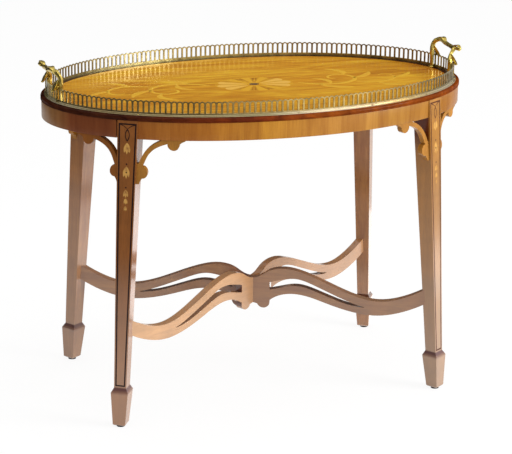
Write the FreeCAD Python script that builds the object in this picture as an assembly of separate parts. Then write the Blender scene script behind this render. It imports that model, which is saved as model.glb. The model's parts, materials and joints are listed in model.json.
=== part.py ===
import FreeCAD, Part
import math
import os

# Oval tray-top tea table: a splayed stand with curved apron rails, arch brackets and crossed
# serpentine stretchers, under a lift-off tray with a pierced brass gallery and two cast handles.
# Millimetres. +Z up, +X along the tray's length, the front towards -Y, the origin on the floor
# under the tray's centre.

V = FreeCAD.Vector
UP = V(0, 0, 1)

# Whole table
TRAY_LENGTH = 842.0          # over the tray's moulding
TRAY_WIDTH = 518.0
STAND_HEIGHT = 592.0         # floor to the top of the stand, where the tray sits
OVERRUN = 6.0                # how far cutting shapes run past what they cut
CLEARANCE = 0.3              # between castings and what they stand beside

# Apron
APRON_INSET = 1.5            # apron face behind the moulding's nose
APRON_HEIGHT = 34.0
APRON_THICKNESS = 20.0
TENON_LENGTH = 13.0
TENON_THICKNESS = 9.0
TENON_SHOULDER = 6.0         # above and below the tenon
TENON_ROOT = 6.0             # how far the tenon is rooted in its rail

# Legs
LEG_STATION_DEG = 43.4       # place of each leg round the apron's ellipse
LEG_TOP_WIDTH = 39.0
LEG_NECK_WIDTH = 24.0
LEG_PROUD = 1.0              # leg face in front of the apron face
LEG_SPLAY_X = 31.0           # foot further out than the leg's top
LEG_SPLAY_Y = 26.0
SPADE_HEIGHT = 66.0
SPADE_COLLAR_HEIGHT = 9.0
SPADE_SHOULDER_WIDTH = 33.5
SPADE_TOE_WIDTH = 24.5
TOE_BEVEL = 2.0
GLIDE_DIAMETER = 16.0
GLIDE_THICKNESS = 4.0
GLIDE_NAIL_DIAMETER = 3.0
GLIDE_NAIL_LENGTH = 14.0

# Arch brackets
BRACKET_REACH = 84.0         # along the apron and down the leg
BRACKET_THICKNESS = 11.0
BRACKET_SETBACK = 0.5        # its front behind the apron's face
BRACKET_STRIP = 9.7          # width of the arched strip
BRACKET_LIP = 1.4            # thickness of its two tips
BRACKET_ARC_SHARE = 0.983    # inner radius of the arch, of the reach
LOBE_START_SHARE = 0.613     # the round lobe near each tip, all of the reach
LOBE_END_SHARE = 0.872
LOBE_BASE_SHARE = 0.093
LOBE_APEX_SHARES = (0.744, 0.233)
CAVETTO_SHARES = (0.935, 0.044)
DOWEL_DIAMETER = 5.0
DOWEL_LENGTH = 26.0
DOWEL_PLACE_SHARE = 0.744

# Crossed stretchers
STRETCHER_LOW = 144.5        # lowest edge above the floor
STRETCHER_DEPTH = 85.0       # between its lowest and highest edges
STRETCHER_THICKNESS = 16.0
STRETCHER_TENON_THICKNESS = 7.0
STRETCHER_TENON_HEIGHT = 15.0
STRETCHER_TENON_STOP = 4.0   # short of the leg's axis
STRETCHER_TENON_ROOT = 30.0  # from the leg's axis back into the board
STRETCHER_TENON_SHARE = 0.535
# Edges of one arm: share of the way to the leg's axis, share of the depth
ARM_TOP_SHARES = ((0.0, 0.735), (0.096, 0.912), (0.187, 1.0), (0.287, 0.924), (0.43, 0.688),
                  (0.579, 0.441), (0.703, 0.353), (0.826, 0.453), (1.0, 0.83))
ARM_BOTTOM_SHARES = ((1.0, 0.465), (0.826, 0.112), (0.689, 0.0), (0.576, 0.041), (0.427, 0.206),
                     (0.292, 0.371), (0.22, 0.388), (0.105, 0.2))
ARM_DROP_SHARES = ((0.105, 0.2), (0.069, 0.0), (0.036, 0.094))
ARM_MIDDLE_SHARES = ((0.036, 0.094), (0.018, 0.112), (0.0, 0.118))
SLOT_TOP_SHARES = ((0.105, 0.595), (0.165, 0.7), (0.245, 0.765), (0.35, 0.641), (0.499, 0.371),
                   (0.631, 0.19))
SLOT_BOTTOM_SHARES = ((0.631, 0.18), (0.501, 0.272), (0.35, 0.503), (0.262, 0.592), (0.165, 0.541),
                      (0.105, 0.506))

# Inlay in the legs' outer faces
INLAY_DEPTH = 1.0
STRINGING_WIDTH = 2.8
STRINGING_MARGIN = 2.3       # from the leg's edges
STRINGING_TOP_GAP = 5.0
STRINGING_BOTTOM_GAP = 3.0
LOOP_LINE = 1.6              # width of the looped line at the top
LOOP_START = 15.0            # below the leg's top
LOOP_END = 39.0
LOOP_HALF_WIDTH = 4.6
LOOP_SWAG_SHARE = 0.3
HUSK_WIDTH = 12.0
HUSK_DROP = 170.0            # from the leg's top to the lowest husk's tip
# Head and length of each husk as shares of the drop, and its share of the width
HUSK_ROW_SHARES = ((0.242, 0.128, 1.0), (0.502, 0.138, 1.0), (0.761, 0.09, 0.75),
                   (0.858, 0.069, 0.6), (0.942, 0.058, 0.45))
HUSK_SHOULDER_SHARES = (0.5, 0.42)
HUSK_TIP_SHARES = (0.42, 0.86)
HUSK_NOTCH_SHARES = (0.2, 0.7)

# Tray
MOULDING_HEIGHT = 9.0
MOULDING_WIDTH = 24.0
# Profile of the moulding's rounded nose: rise and setback, as shares of its height
NOSE_SHARES = ((0.0, 0.2), (0.2, 0.0), (0.5, 0.0), (0.75, 0.07), (0.93, 0.25), (1.0, 0.5))
PATERA_LENGTH = 156.0
PATERA_WIDTH = 118.0
PATERA_PETALS = 12
PETAL_ROOT_SHARE = 0.17      # of the rosette's radius
PETAL_TIP_SHARE = 0.96
PETAL_BROAD_SHARES = (0.82, 0.94)  # where a petal is broadest, and how much of its room it fills there
HUB_SHARE = 0.13
BATTEN_WIDTH = 28.0
BATTEN_THICKNESS = 10.0
BATTEN_CLEARANCE = 2.0       # from legs and rails
BATTEN_CHAMFER = 3.0
BATTEN_SCREWS = 3            # in each batten
SCREW_DIAMETER = 3.0
SCREW_HEAD_DIAMETER = 6.0
SCREW_HEAD_HEIGHT = 2.0
BATTEN_SCREW_BITE = 4.0      # into the panel
BATTEN_SCREW_SHARE = 0.8     # outermost screws, of the batten's half length

# Gallery
GALLERY_INSET = 12.0         # gallery face behind the moulding's nose
GALLERY_HEIGHT = 28.0
GALLERY_THICKNESS = 2.0
GALLERY_BAYS = 204           # arched openings all round, in two lengths
GALLERY_FOOT_WIDTH = 5.0
GALLERY_FOOT_THICKNESS = 1.5
SILL_HEIGHT = 6.0            # solid strip under the openings
CROWN_HEIGHT = 2.2           # above the openings
PILLAR_WIDTH = 3.8
ARCH_SPRING_SHARE = 0.42     # arch height of the opening's width
ARCH_FLAT_SHARE = 0.4        # flat crown of the arch
PIN_DIAMETER = 1.8
PIN_HEAD_DIAMETER = 3.4
PIN_HEAD_HEIGHT = 1.0
PIN_BITE = 4.0               # into the moulding
PINS_PER_LENGTH = 7

# Cast handles
HANDLE_HALF_SPAN = 45.0
HANDLE_RISE = 31.0           # of the bow's middle line above the gallery's crown
HANDLE_LEAN = 13.0           # how far the grip leans out over the feet
HANDLE_RADIUS = 3.7
HANDLE_FOOT_DIAMETER = 8.4
HANDLE_FOOT_HEIGHT = 4.0
STRAP_WIDTH = 6.0
STRAP_THICKNESS = 2.4
HANDLE_SCREW_BITE = 9.0      # into the foot
BUD_LENGTH = 16.0
BUD_DIAMETER = 10.0
LEAF_LENGTH = 13.0
LEAF_DIAMETER = 8.0
BOW_RINGS = 2                # rings from each point of the bow to the next
CASTING_SIDES = 10           # facets round the castings
BUD_RING_SHARES = ((0.12, 0.6), (0.35, 1.0), (0.6, 0.9), (0.85, 0.45))
# Bow over the gallery from one upright to the other: shares of the lean, the half span and the rise
BOW_SHARES = ((0.0, 1.0, 0.08), (0.42, 1.0, 0.38), (0.86, 0.95, 0.7), (1.0, 0.74, 0.93),
              (1.0, 0.42, 1.0), (1.0, 0.02, 0.91), (1.0, -0.4, 0.82), (0.94, -0.74, 0.78),
              (0.72, -0.95, 0.62), (0.32, -1.0, 0.36), (0.0, -1.0, 0.08))
# Swelling of the bow at the same points
BOW_SWELL_SHARES = (0.95, 0.95, 1.1, 1.25, 1.3, 0.95, 1.15, 1.1, 1.0, 0.95, 0.95)
BUD_ROOT_SHARES = (0.9, -0.8, 0.77)
BUD_WAY = V(0.8, -0.35, 0.1)
CREST_ROOT_SHARES = (1.0, 0.62, 0.97)
CREST_WAY = V(0.35, 0.75, 0.45)
CURL_SPREAD_SHARE = 0.45     # how far the lower leaves turn aside as they curl out

# Worked out from the above
MOULDING_A = TRAY_LENGTH / 2
MOULDING_B = TRAY_WIDTH / 2
APRON_A = MOULDING_A - APRON_INSET
APRON_B = MOULDING_B - APRON_INSET
APRON_INNER_A = APRON_A - APRON_THICKNESS
APRON_INNER_B = APRON_B - APRON_THICKNESS
APRON_BOTTOM = STAND_HEIGHT - APRON_HEIGHT
PANEL_A = MOULDING_A - MOULDING_WIDTH
PANEL_B = MOULDING_B - MOULDING_WIDTH
GALLERY_A = MOULDING_A - GALLERY_INSET
GALLERY_B = MOULDING_B - GALLERY_INSET
FLOOR = STAND_HEIGHT + MOULDING_HEIGHT
GALLERY_TOP = FLOOR + GALLERY_HEIGHT
SPADE_TOP = GLIDE_THICKNESS + SPADE_HEIGHT
LEG_NECK = SPADE_TOP + SPADE_COLLAR_HEIGHT
CORNERS = {"front_left": (-1, -1), "front_right": (1, -1), "back_left": (-1, 1), "back_right": (1, 1)}


def ellipse_prism(half_length, half_width, bottom, top):
    """Upright oval block between two heights."""
    edge = Part.Ellipse(V(0, 0, bottom), half_length, half_width).toShape()
    return Part.Face(Part.Wire([edge])).extrude(UP * (top - bottom))


def plan_prism(points, bottom, top):
    """Upright block on a plan outline."""
    corners = [V(point.x, point.y, bottom) for point in points]
    return Part.Face(Part.makePolygon(corners + corners[:1])).extrude(UP * (top - bottom))


def plan_box(middle, way, reach, half_width, bottom, top):
    """Upright block that runs along `way` from reach[0] to reach[1], turned in plan."""
    side = way.cross(UP)
    near = middle + way * reach[0]
    far = middle + way * reach[1]
    across = side * half_width
    corners = [near - across, far - across, far + across, near + across]
    return plan_prism(corners, bottom, top)


def arc(start, middle, end):
    return Part.Arc(start, middle, end).toShape()


def line(start, end):
    return Part.LineSegment(start, end).toShape()


def curve(points, start_way=None):
    """Smooth curve through a few points, level at its start if a way is given."""
    spline = Part.BSplineCurve()
    if start_way is None:
        spline.interpolate(points)
    else:
        others = len(points) - 1
        ways = [start_way] + [V(0, 0, 0)] * others
        spline.interpolate(Points=points, Tangents=ways, TangentFlags=[True] + [False] * others)
    return spline.toShape()


def chased_ring(middle, way, radius):
    """Section of a casting: an even-sided ring square to `way`, its first corner always outward."""
    outward = (V(1, 0, 0) - way * way.x).normalize()
    side = way.cross(outward)
    turns = [2 * math.pi * i / CASTING_SIDES for i in range(CASTING_SIDES)]
    corners = [middle + (outward * math.cos(turn) + side * math.sin(turn)) * radius for turn in turns]
    return Part.makePolygon(corners + corners[:1])


def cast_bud(root, way, length, diameter):
    """Pointed bud: rings that swell and close again along its axis."""
    way = V(way.x, way.y, way.z).normalize()
    rings = []
    for along, swell in BUD_RING_SHARES:
        rings.append(chased_ring(root + way * (length * along), way, diameter / 2 * swell))
    return Part.makeLoft([Part.Vertex(root)] + rings + [Part.Vertex(root + way * length)], True, True)


def countersunk_screw(seat, way, length):
    """Flat-headed screw with its head's face on the seat, driven along `way`."""
    head = Part.makeCone(SCREW_HEAD_DIAMETER / 2, SCREW_DIAMETER / 2, SCREW_HEAD_HEIGHT, seat, way)
    return head.fuse(Part.makeCylinder(SCREW_DIAMETER / 2, length, seat, way)).removeSplitter()


def one_solid(shape):
    """The single solid that a union or a cut leaves."""
    return shape.removeSplitter().Solids[0]


class Leg:
    """One splayed leg: where its axis runs and which way its inlaid face looks."""

    def __init__(self, side, depth):
        station = math.radians(LEG_STATION_DEG)
        self.side = side
        self.depth = depth
        self.apron_point = V(side * APRON_A * math.cos(station), depth * APRON_B * math.sin(station), 0)
        self.out = V(side * math.cos(station) / APRON_A, depth * math.sin(station) / APRON_B, 0).normalize()
        self.along = V(-side * abs(self.out.y), depth * abs(self.out.x), 0)
        self.top = self.apron_point + self.out * (LEG_PROUD - LEG_TOP_WIDTH / 2)
        self.splay = V(side * LEG_SPLAY_X, depth * LEG_SPLAY_Y, 0)
        self.face_top = self.axis(STAND_HEIGHT) + self.out * (LEG_TOP_WIDTH / 2)
        face_run = self.axis(LEG_NECK) + self.out * (LEG_NECK_WIDTH / 2) - self.face_top
        self.face_length = face_run.Length
        self.down = face_run.normalize()
        self.face_way = self.along.cross(self.down).normalize()
        if self.face_way.dot(self.out) < 0:
            self.face_way = -self.face_way

    def axis(self, height):
        return self.top + self.splay * ((STAND_HEIGHT - height) / STAND_HEIGHT) + UP * height

    def section(self, height, width):
        middle = self.axis(height)
        across = self.along * (width / 2)
        deep = self.out * (width / 2)
        corners = [middle - across - deep, middle + across - deep,
                   middle + across + deep, middle - across + deep]
        return Part.makePolygon(corners + corners[:1])

    def blank(self):
        """Square taper on a spade foot, before its joints are cut."""
        sections = [self.section(GLIDE_THICKNESS, SPADE_TOE_WIDTH - 2 * TOE_BEVEL),
                    self.section(GLIDE_THICKNESS + TOE_BEVEL, SPADE_TOE_WIDTH),
                    self.section(SPADE_TOP, SPADE_SHOULDER_WIDTH),
                    self.section(LEG_NECK, LEG_NECK_WIDTH),
                    self.section(STAND_HEIGHT, LEG_TOP_WIDTH)]
        return Part.makeLoft(sections, True, True)

    def rail_tenon(self, way):
        """Stub tenon that enters the leg's side; `way` points from the leg to the rail."""
        middle = self.apron_point - self.out * (APRON_THICKNESS / 2)
        half = LEG_TOP_WIDTH / 2
        return plan_box(middle, way, (half - TENON_LENGTH, half + TENON_ROOT), TENON_THICKNESS / 2,
                        APRON_BOTTOM + TENON_SHOULDER, STAND_HEIGHT - TENON_SHOULDER)

    def on_face(self, across, down):
        """Point on the inlaid face: across from its middle line, down from its top."""
        return self.face_top + self.along * across + self.down * down

    def inlay(self, edges):
        """Inlay let in flush, and the pocket that takes it."""
        face = Part.Face(Part.Wire(edges))
        pocket = face.translated(self.face_way * OVERRUN).extrude(self.face_way * -(OVERRUN + INLAY_DEPTH))
        return face.extrude(self.face_way * -INLAY_DEPTH), pocket


def glide(leg):
    """Nail-on glide: a disc with its nail."""
    middle = leg.axis(GLIDE_THICKNESS)
    base = V(middle.x, middle.y, 0)
    disc = Part.makeCylinder(GLIDE_DIAMETER / 2, GLIDE_THICKNESS, base)
    nail = Part.makeCylinder(GLIDE_NAIL_DIAMETER / 2, GLIDE_THICKNESS + GLIDE_NAIL_LENGTH, base)
    return one_solid(disc.fuse(nail))


def face_outline(leg, top, bottom, inset):
    """Tapered four-sided outline on a leg's face, inset from its edges."""
    def half(down):
        return (LEG_TOP_WIDTH + (LEG_NECK_WIDTH - LEG_TOP_WIDTH) * down / leg.face_length) / 2 - inset
    corners = [leg.on_face(-half(top), top), leg.on_face(half(top), top),
               leg.on_face(half(bottom), bottom), leg.on_face(-half(bottom), bottom)]
    return [line(corners[i], corners[(i + 1) % 4]) for i in range(4)]


def almond(leg, top, bottom, half_width):
    middle = (top + bottom) / 2
    return [arc(leg.on_face(0, top), leg.on_face(half_width, middle), leg.on_face(0, bottom)),
            arc(leg.on_face(0, bottom), leg.on_face(-half_width, middle), leg.on_face(0, top))]


def swag(leg, side):
    """Curved line from one upper corner of the stringing to the head of the loop."""
    reach = side * (LEG_TOP_WIDTH / 2 - STRINGING_MARGIN - STRINGING_WIDTH / 2)
    top = STRINGING_TOP_GAP + STRINGING_WIDTH / 2
    sag = top + (LOOP_START - top) * LOOP_SWAG_SHARE
    upper = arc(leg.on_face(reach, top), leg.on_face(reach / 2, sag), leg.on_face(0, LOOP_START))
    lower = arc(leg.on_face(reach, top + LOOP_LINE), leg.on_face(reach / 2, sag + LOOP_LINE),
                leg.on_face(0, LOOP_START + LOOP_LINE))
    ends = [line(upper.Vertexes[i].Point, lower.Vertexes[i].Point) for i in range(2)]
    return Part.__sortEdges__([upper, lower] + ends)


def stringing(leg):
    """Dark line round a leg's face with a looped drop at its head, and its groove."""
    top = STRINGING_TOP_GAP
    bottom = leg.face_length - STRINGING_BOTTOM_GAP
    outer = leg.inlay(face_outline(leg, top, bottom, STRINGING_MARGIN))
    inner = leg.inlay(face_outline(leg, top + STRINGING_WIDTH, bottom - STRINGING_WIDTH,
                                   STRINGING_MARGIN + STRINGING_WIDTH))
    loop = leg.inlay(almond(leg, LOOP_START, LOOP_END, LOOP_HALF_WIDTH))
    eye = leg.inlay(almond(leg, LOOP_START + 2 * LOOP_LINE, LOOP_END - 2 * LOOP_LINE,
                           LOOP_HALF_WIDTH - LOOP_LINE))
    swags = [leg.inlay(swag(leg, side)) for side in (-1, 1)]
    frame = [outer[i].cut(inner[1]) for i in range(2)]
    drop = [loop[i].cut(eye[1]) for i in range(2)]
    return [one_solid(frame[i].fuse([drop[i]] + [item[i] for item in swags])) for i in range(2)]


def husk(leg, top, length, width):
    """Bellflower husk: two swelling sides and three pointed tips."""
    def at(side, shares):
        return leg.on_face(side * shares[0] * width, top + shares[1] * length)
    head = leg.on_face(0, top)
    tail = leg.on_face(0, top + length)
    sides = [arc(head, at(side, HUSK_SHOULDER_SHARES), at(side, HUSK_TIP_SHARES)) for side in (-1, 1)]
    tips = [line(at(side, HUSK_TIP_SHARES), at(side, HUSK_NOTCH_SHARES)) for side in (-1, 1)]
    middles = [line(at(side, HUSK_NOTCH_SHARES), tail) for side in (-1, 1)]
    return leg.inlay(Part.__sortEdges__(sides + tips + middles))


def bellflowers(leg):
    """The chain of husks on a leg's face, and their pockets."""
    rows = [husk(leg, HUSK_DROP * start, HUSK_DROP * length, HUSK_WIDTH * width)
            for start, length, width in HUSK_ROW_SHARES]
    return [Part.makeCompound([row[i] for row in rows]) for i in range(2)]


class BracketPlace:
    """Where one arch bracket stands: under the edge of the apron, on its chord, leaning with the leg."""

    def __init__(self, leg, long_side):
        self.leg = leg
        setback = BRACKET_SETBACK + BRACKET_THICKNESS / 2
        half_length = APRON_A - setback
        half_width = APRON_B - setback
        station = math.radians(LEG_STATION_DEG)
        turn = 1 if long_side else -1

        def rail_point(angle):
            return V(leg.side * half_length * math.cos(angle), leg.depth * half_width * math.sin(angle), 0)
        self.root = rail_point(station)
        near = 0.0
        far = math.pi / 4
        for _ in range(40):
            middle = (near + far) / 2
            if (rail_point(station + turn * middle) - self.root).Length < LEG_TOP_WIDTH / 2 + BRACKET_REACH:
                near = middle
            else:
                far = middle
        self.way = (rail_point(station + turn * far) - self.root).normalize()
        self.side = self.way.cross(UP)
        self.fall = leg.splay / STAND_HEIGHT - UP

    def at(self, along, down):
        """Point on the bracket's middle plane: along from the leg's side, down from the apron."""
        return self.root + self.way * (LEG_TOP_WIDTH / 2 + along) + UP * APRON_BOTTOM + self.fall * down

    def outline(self):
        """Arched strip with a lobe near each tip, alike about its diagonal."""
        reach = BRACKET_REACH
        inner = reach * BRACKET_ARC_SHARE
        outer = inner + BRACKET_STRIP
        start = reach - math.sqrt(outer ** 2 - reach ** 2)
        lobe_start = reach * LOBE_START_SHARE
        foot = reach - math.sqrt(inner ** 2 - (reach - lobe_start) ** 2)
        lobe_end = (reach * LOBE_END_SHARE, reach * LOBE_BASE_SHARE)
        apex = [reach * share for share in LOBE_APEX_SHARES]
        cavetto = [reach * share for share in CAVETTO_SHARES]
        hidden = -LEG_TOP_WIDTH / 2
        at = self.at
        inner_middle = reach - inner * math.sqrt(2) / 2
        outer_middle = reach - outer * math.sqrt(2) / 2
        return [line(at(start, 0), at(reach, 0)),
                line(at(reach, 0), at(reach, BRACKET_LIP)),
                arc(at(reach, BRACKET_LIP), at(*cavetto), at(*lobe_end)),
                arc(at(*lobe_end), at(*apex), at(lobe_start, foot)),
                arc(at(lobe_start, foot), at(inner_middle, inner_middle), at(foot, lobe_start)),
                arc(at(foot, lobe_start), at(*apex[::-1]), at(*lobe_end[::-1])),
                arc(at(*lobe_end[::-1]), at(*cavetto[::-1]), at(BRACKET_LIP, reach)),
                line(at(BRACKET_LIP, reach), at(hidden, reach)),
                line(at(hidden, reach), at(hidden, start)),
                line(at(hidden, start), at(0, start)),
                arc(at(0, start), at(outer_middle, outer_middle), at(start, 0))]

    def blank(self):
        face = Part.Face(Part.Wire(self.outline()))
        return face.translated(self.side * (-BRACKET_THICKNESS / 2)).extrude(self.side * BRACKET_THICKNESS)

    def dowels(self):
        """One peg up into the rail and one into the leg, each through a lobe."""
        place = BRACKET_REACH * DOWEL_PLACE_SHARE
        upper = self.at(place, 0) + UP * (DOWEL_LENGTH / 2)
        inner = self.at(0, place) - self.way * (DOWEL_LENGTH / 2)
        upright = Part.makeCylinder(DOWEL_DIAMETER / 2, DOWEL_LENGTH, upper, -UP)
        level = Part.makeCylinder(DOWEL_DIAMETER / 2, DOWEL_LENGTH, inner, self.way)
        return [upright, level]


class Stretcher:
    """One serpentine board that runs through the middle from a leg to the leg opposite."""

    def __init__(self, leg):
        self.end = leg.axis(STRETCHER_LOW + STRETCHER_DEPTH / 2)
        self.half_length = math.hypot(self.end.x, self.end.y)
        self.turn = math.degrees(math.atan2(self.end.y, self.end.x))
        self.way = V(self.end.x, self.end.y, 0).normalize()

    def points(self, shares, side):
        return [V(side * along * self.half_length, 0, STRETCHER_LOW + up * STRETCHER_DEPTH)
                for along, up in shares]

    def board(self):
        """Outline of both arms with their drops and slots, given its thickness and turned into place."""
        edges = []
        slots = []
        for side in (-1, 1):
            top = self.points(ARM_TOP_SHARES, side)
            bottom = self.points(ARM_BOTTOM_SHARES, side)
            edges.append(curve(top, V(side, 0, 0)))
            edges.append(line(top[-1], bottom[0]))
            edges.append(curve(bottom))
            edges.append(arc(*self.points(ARM_DROP_SHARES, side)))
            edges.append(arc(*self.points(ARM_MIDDLE_SHARES, side)))
            slot_top = self.points(SLOT_TOP_SHARES, side)
            slot_bottom = self.points(SLOT_BOTTOM_SHARES, side)
            slot = [curve(slot_top), line(slot_top[-1], slot_bottom[0]), curve(slot_bottom),
                    line(slot_bottom[-1], slot_top[0])]
            slots.append(Part.Wire(Part.__sortEdges__(slot)))
        outline = Part.Face(Part.Wire(Part.__sortEdges__(edges)))
        thickness = V(0, STRETCHER_THICKNESS, 0)
        board = outline.extrude(thickness)
        for slot in slots:
            board = board.cut(Part.Face(slot).extrude(thickness))
        board.translate(thickness * -0.5)
        board.rotate(V(0, 0, 0), UP, self.turn)
        return board

    def slab(self, bottom, top):
        """The space that this board takes where the two boards cross."""
        reach = 2 * STRETCHER_THICKNESS
        return plan_box(V(0, 0, 0), self.way, (-reach, reach), STRETCHER_THICKNESS / 2, bottom, top)

    def tenon(self, side):
        way = self.way * side
        middle = STRETCHER_LOW + STRETCHER_DEPTH * STRETCHER_TENON_SHARE
        reach = (self.half_length - STRETCHER_TENON_ROOT, self.half_length - STRETCHER_TENON_STOP)
        return plan_box(V(0, 0, 0), way, reach, STRETCHER_TENON_THICKNESS / 2,
                        middle - STRETCHER_TENON_HEIGHT / 2, middle + STRETCHER_TENON_HEIGHT / 2)


def make_stand():
    """Legs, rails, brackets, stretchers, glides and leg inlays, by node name."""
    nodes = {}
    legs = {name: Leg(*signs) for name, signs in CORNERS.items()}
    blanks = {name: leg.blank() for name, leg in legs.items()}
    cuts = {name: [] for name in legs}

    ring = ellipse_prism(APRON_A, APRON_B, APRON_BOTTOM, STAND_HEIGHT).cut(
        ellipse_prism(APRON_INNER_A, APRON_INNER_B, APRON_BOTTOM, STAND_HEIGHT)).cut(list(blanks.values()))
    rail_ways = {"rail_front": V(0, -1, 0), "rail_back": V(0, 1, 0),
                 "rail_left": V(-1, 0, 0), "rail_right": V(1, 0, 0)}
    rails = {}
    for name, way in rail_ways.items():
        rails[name] = max(ring.Solids, key=lambda solid: solid.CenterOfMass.dot(way))
    for name, leg in legs.items():
        long_rail = "rail_front" if leg.depth < 0 else "rail_back"
        end_rail = "rail_left" if leg.side < 0 else "rail_right"
        for rail, way in ((long_rail, leg.along), (end_rail, -leg.along)):
            tenon = leg.rail_tenon(way)
            rails[rail] = rails[rail].fuse(tenon)
            cuts[name].append(tenon)

    dowels = []
    for name, leg in legs.items():
        for run, long_side, rail in (("long", True, "rail_front" if leg.depth < 0 else "rail_back"),
                                     ("end", False, "rail_left" if leg.side < 0 else "rail_right")):
            place = BracketPlace(leg, long_side)
            pegs = place.dowels()
            bracket = place.blank().cut(blanks[name]).cut(pegs)
            nodes["bracket_%s_%s" % (name, run)] = one_solid(bracket)
            rails[rail] = rails[rail].cut(pegs[0])
            cuts[name].append(pegs[1])
            dowels.extend(pegs)
    nodes["bracket_dowels"] = Part.makeCompound(dowels)
    for name, rail in rails.items():
        nodes[name] = one_solid(rail)

    first = Stretcher(legs["back_right"])
    second = Stretcher(legs["front_right"])
    low = STRETCHER_LOW + STRETCHER_DEPTH * ARM_MIDDLE_SHARES[-1][1]
    high = STRETCHER_LOW + STRETCHER_DEPTH * ARM_TOP_SHARES[0][1]
    middle = (low + high) / 2
    upper_notch = second.slab(middle, STRETCHER_LOW + STRETCHER_DEPTH)
    lower_notch = first.slab(STRETCHER_LOW, middle)
    crossing = {"stretcher_front_left_to_back_right": (first, upper_notch, "back_right", "front_left"),
                "stretcher_back_left_to_front_right": (second, lower_notch, "front_right", "back_left")}
    for name, (stretcher, notch, right_leg, left_leg) in crossing.items():
        board = stretcher.board().cut(notch)
        for side, corner in ((1, right_leg), (-1, left_leg)):
            tenon = stretcher.tenon(side)
            board = board.cut(blanks[corner]).fuse(tenon)
            cuts[corner].append(tenon)
        nodes[name] = one_solid(board)

    for name, leg in legs.items():
        line_inlay, groove = stringing(leg)
        husks, pockets = bellflowers(leg)
        nodes["stringing_" + name] = line_inlay
        nodes["bellflowers_" + name] = husks
        nodes["glide_" + name] = glide(leg)
        cuts[name].extend([groove, glide(leg)] + pockets.Solids)
        nodes["leg_" + name] = one_solid(blanks[name].cut(cuts[name]))
    return nodes


def rosette_point(radius, angle):
    half_length = radius * PATERA_LENGTH / 2
    half_width = radius * PATERA_WIDTH / 2
    return V(half_length * math.cos(angle), half_width * math.sin(angle), FLOOR)


def make_patera():
    """Oval rosette let into the panel: petals and a hub in their ground."""
    step = 2 * math.pi / PATERA_PETALS
    broad, spread = PETAL_BROAD_SHARES
    petals = []
    for i in range(PATERA_PETALS):
        angle = i * step
        root = rosette_point(PETAL_ROOT_SHARE, angle)
        tip = rosette_point(PETAL_TIP_SHARE, angle)
        sides = [rosette_point(broad, angle + turn * spread * step / 2) for turn in (-1, 1)]
        outline = [line(root, sides[0]), arc(sides[0], tip, sides[1]), line(sides[1], root)]
        petals.append(Part.Face(Part.Wire(outline)).extrude(UP * -INLAY_DEPTH))
    half_length = PATERA_LENGTH / 2
    half_width = PATERA_WIDTH / 2
    hub = ellipse_prism(half_length * HUB_SHARE, half_width * HUB_SHARE, FLOOR - INLAY_DEPTH, FLOOR)
    ground = ellipse_prism(half_length, half_width, FLOOR - INLAY_DEPTH, FLOOR)
    return {"patera_petals": Part.makeCompound(petals), "patera_hub": hub,
            "patera_ground": one_solid(ground.cut(petals + [hub]))}


def half_stations():
    """Ellipse angles that divide half the gallery into bays of equal length."""
    steps = 64 * GALLERY_BAYS
    points = [V(GALLERY_A * math.cos(math.pi * i / steps), GALLERY_B * math.sin(math.pi * i / steps), 0)
              for i in range(steps + 1)]
    lengths = [0.0]
    for before, after in zip(points, points[1:]):
        lengths.append(lengths[-1] + (after - before).Length)
    bays = GALLERY_BAYS // 2
    stations = [0.0]
    step = 0
    for bay in range(1, bays):
        while lengths[step] < lengths[-1] * bay / bays:
            step += 1
        stations.append(math.pi * step / steps)
    return stations + [math.pi]


def gallery_point(angle, depth, offset):
    """Point in plan, offset outward from the gallery's outer face."""
    out = V(math.cos(angle) / GALLERY_A, depth * math.sin(angle) / GALLERY_B, 0).normalize()
    return V(GALLERY_A * math.cos(angle), depth * GALLERY_B * math.sin(angle), 0) + out * offset


def gallery_strip(stations, depth, inner, outer, bottom, top):
    """Upright strip along half the gallery."""
    near = [gallery_point(angle, depth, inner) for angle in stations]
    far = [gallery_point(angle, depth, outer) for angle in stations]
    return plan_prism(near + far[::-1], bottom, top)


def arched_opening(start, end):
    """Cutting shape of one arched opening between two neighbouring stations."""
    along = (end - start).normalize()
    out = along.cross(UP)
    half = ((end - start).Length - PILLAR_WIDTH) / 2
    middle = (start + end) * 0.5
    sill = FLOOR + SILL_HEIGHT
    crown = GALLERY_TOP - CROWN_HEIGHT
    spring = crown - 2 * half * ARCH_SPRING_SHARE
    outline = [(-half, sill), (half, sill), (half, spring), (half * ARCH_FLAT_SHARE, crown),
               (-half * ARCH_FLAT_SHARE, crown), (-half, spring)]
    points = [middle - out * OVERRUN + along * across + UP * height for across, height in outline]
    return Part.Face(Part.makePolygon(points + points[:1])).extrude(out * (2 * OVERRUN))


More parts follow.
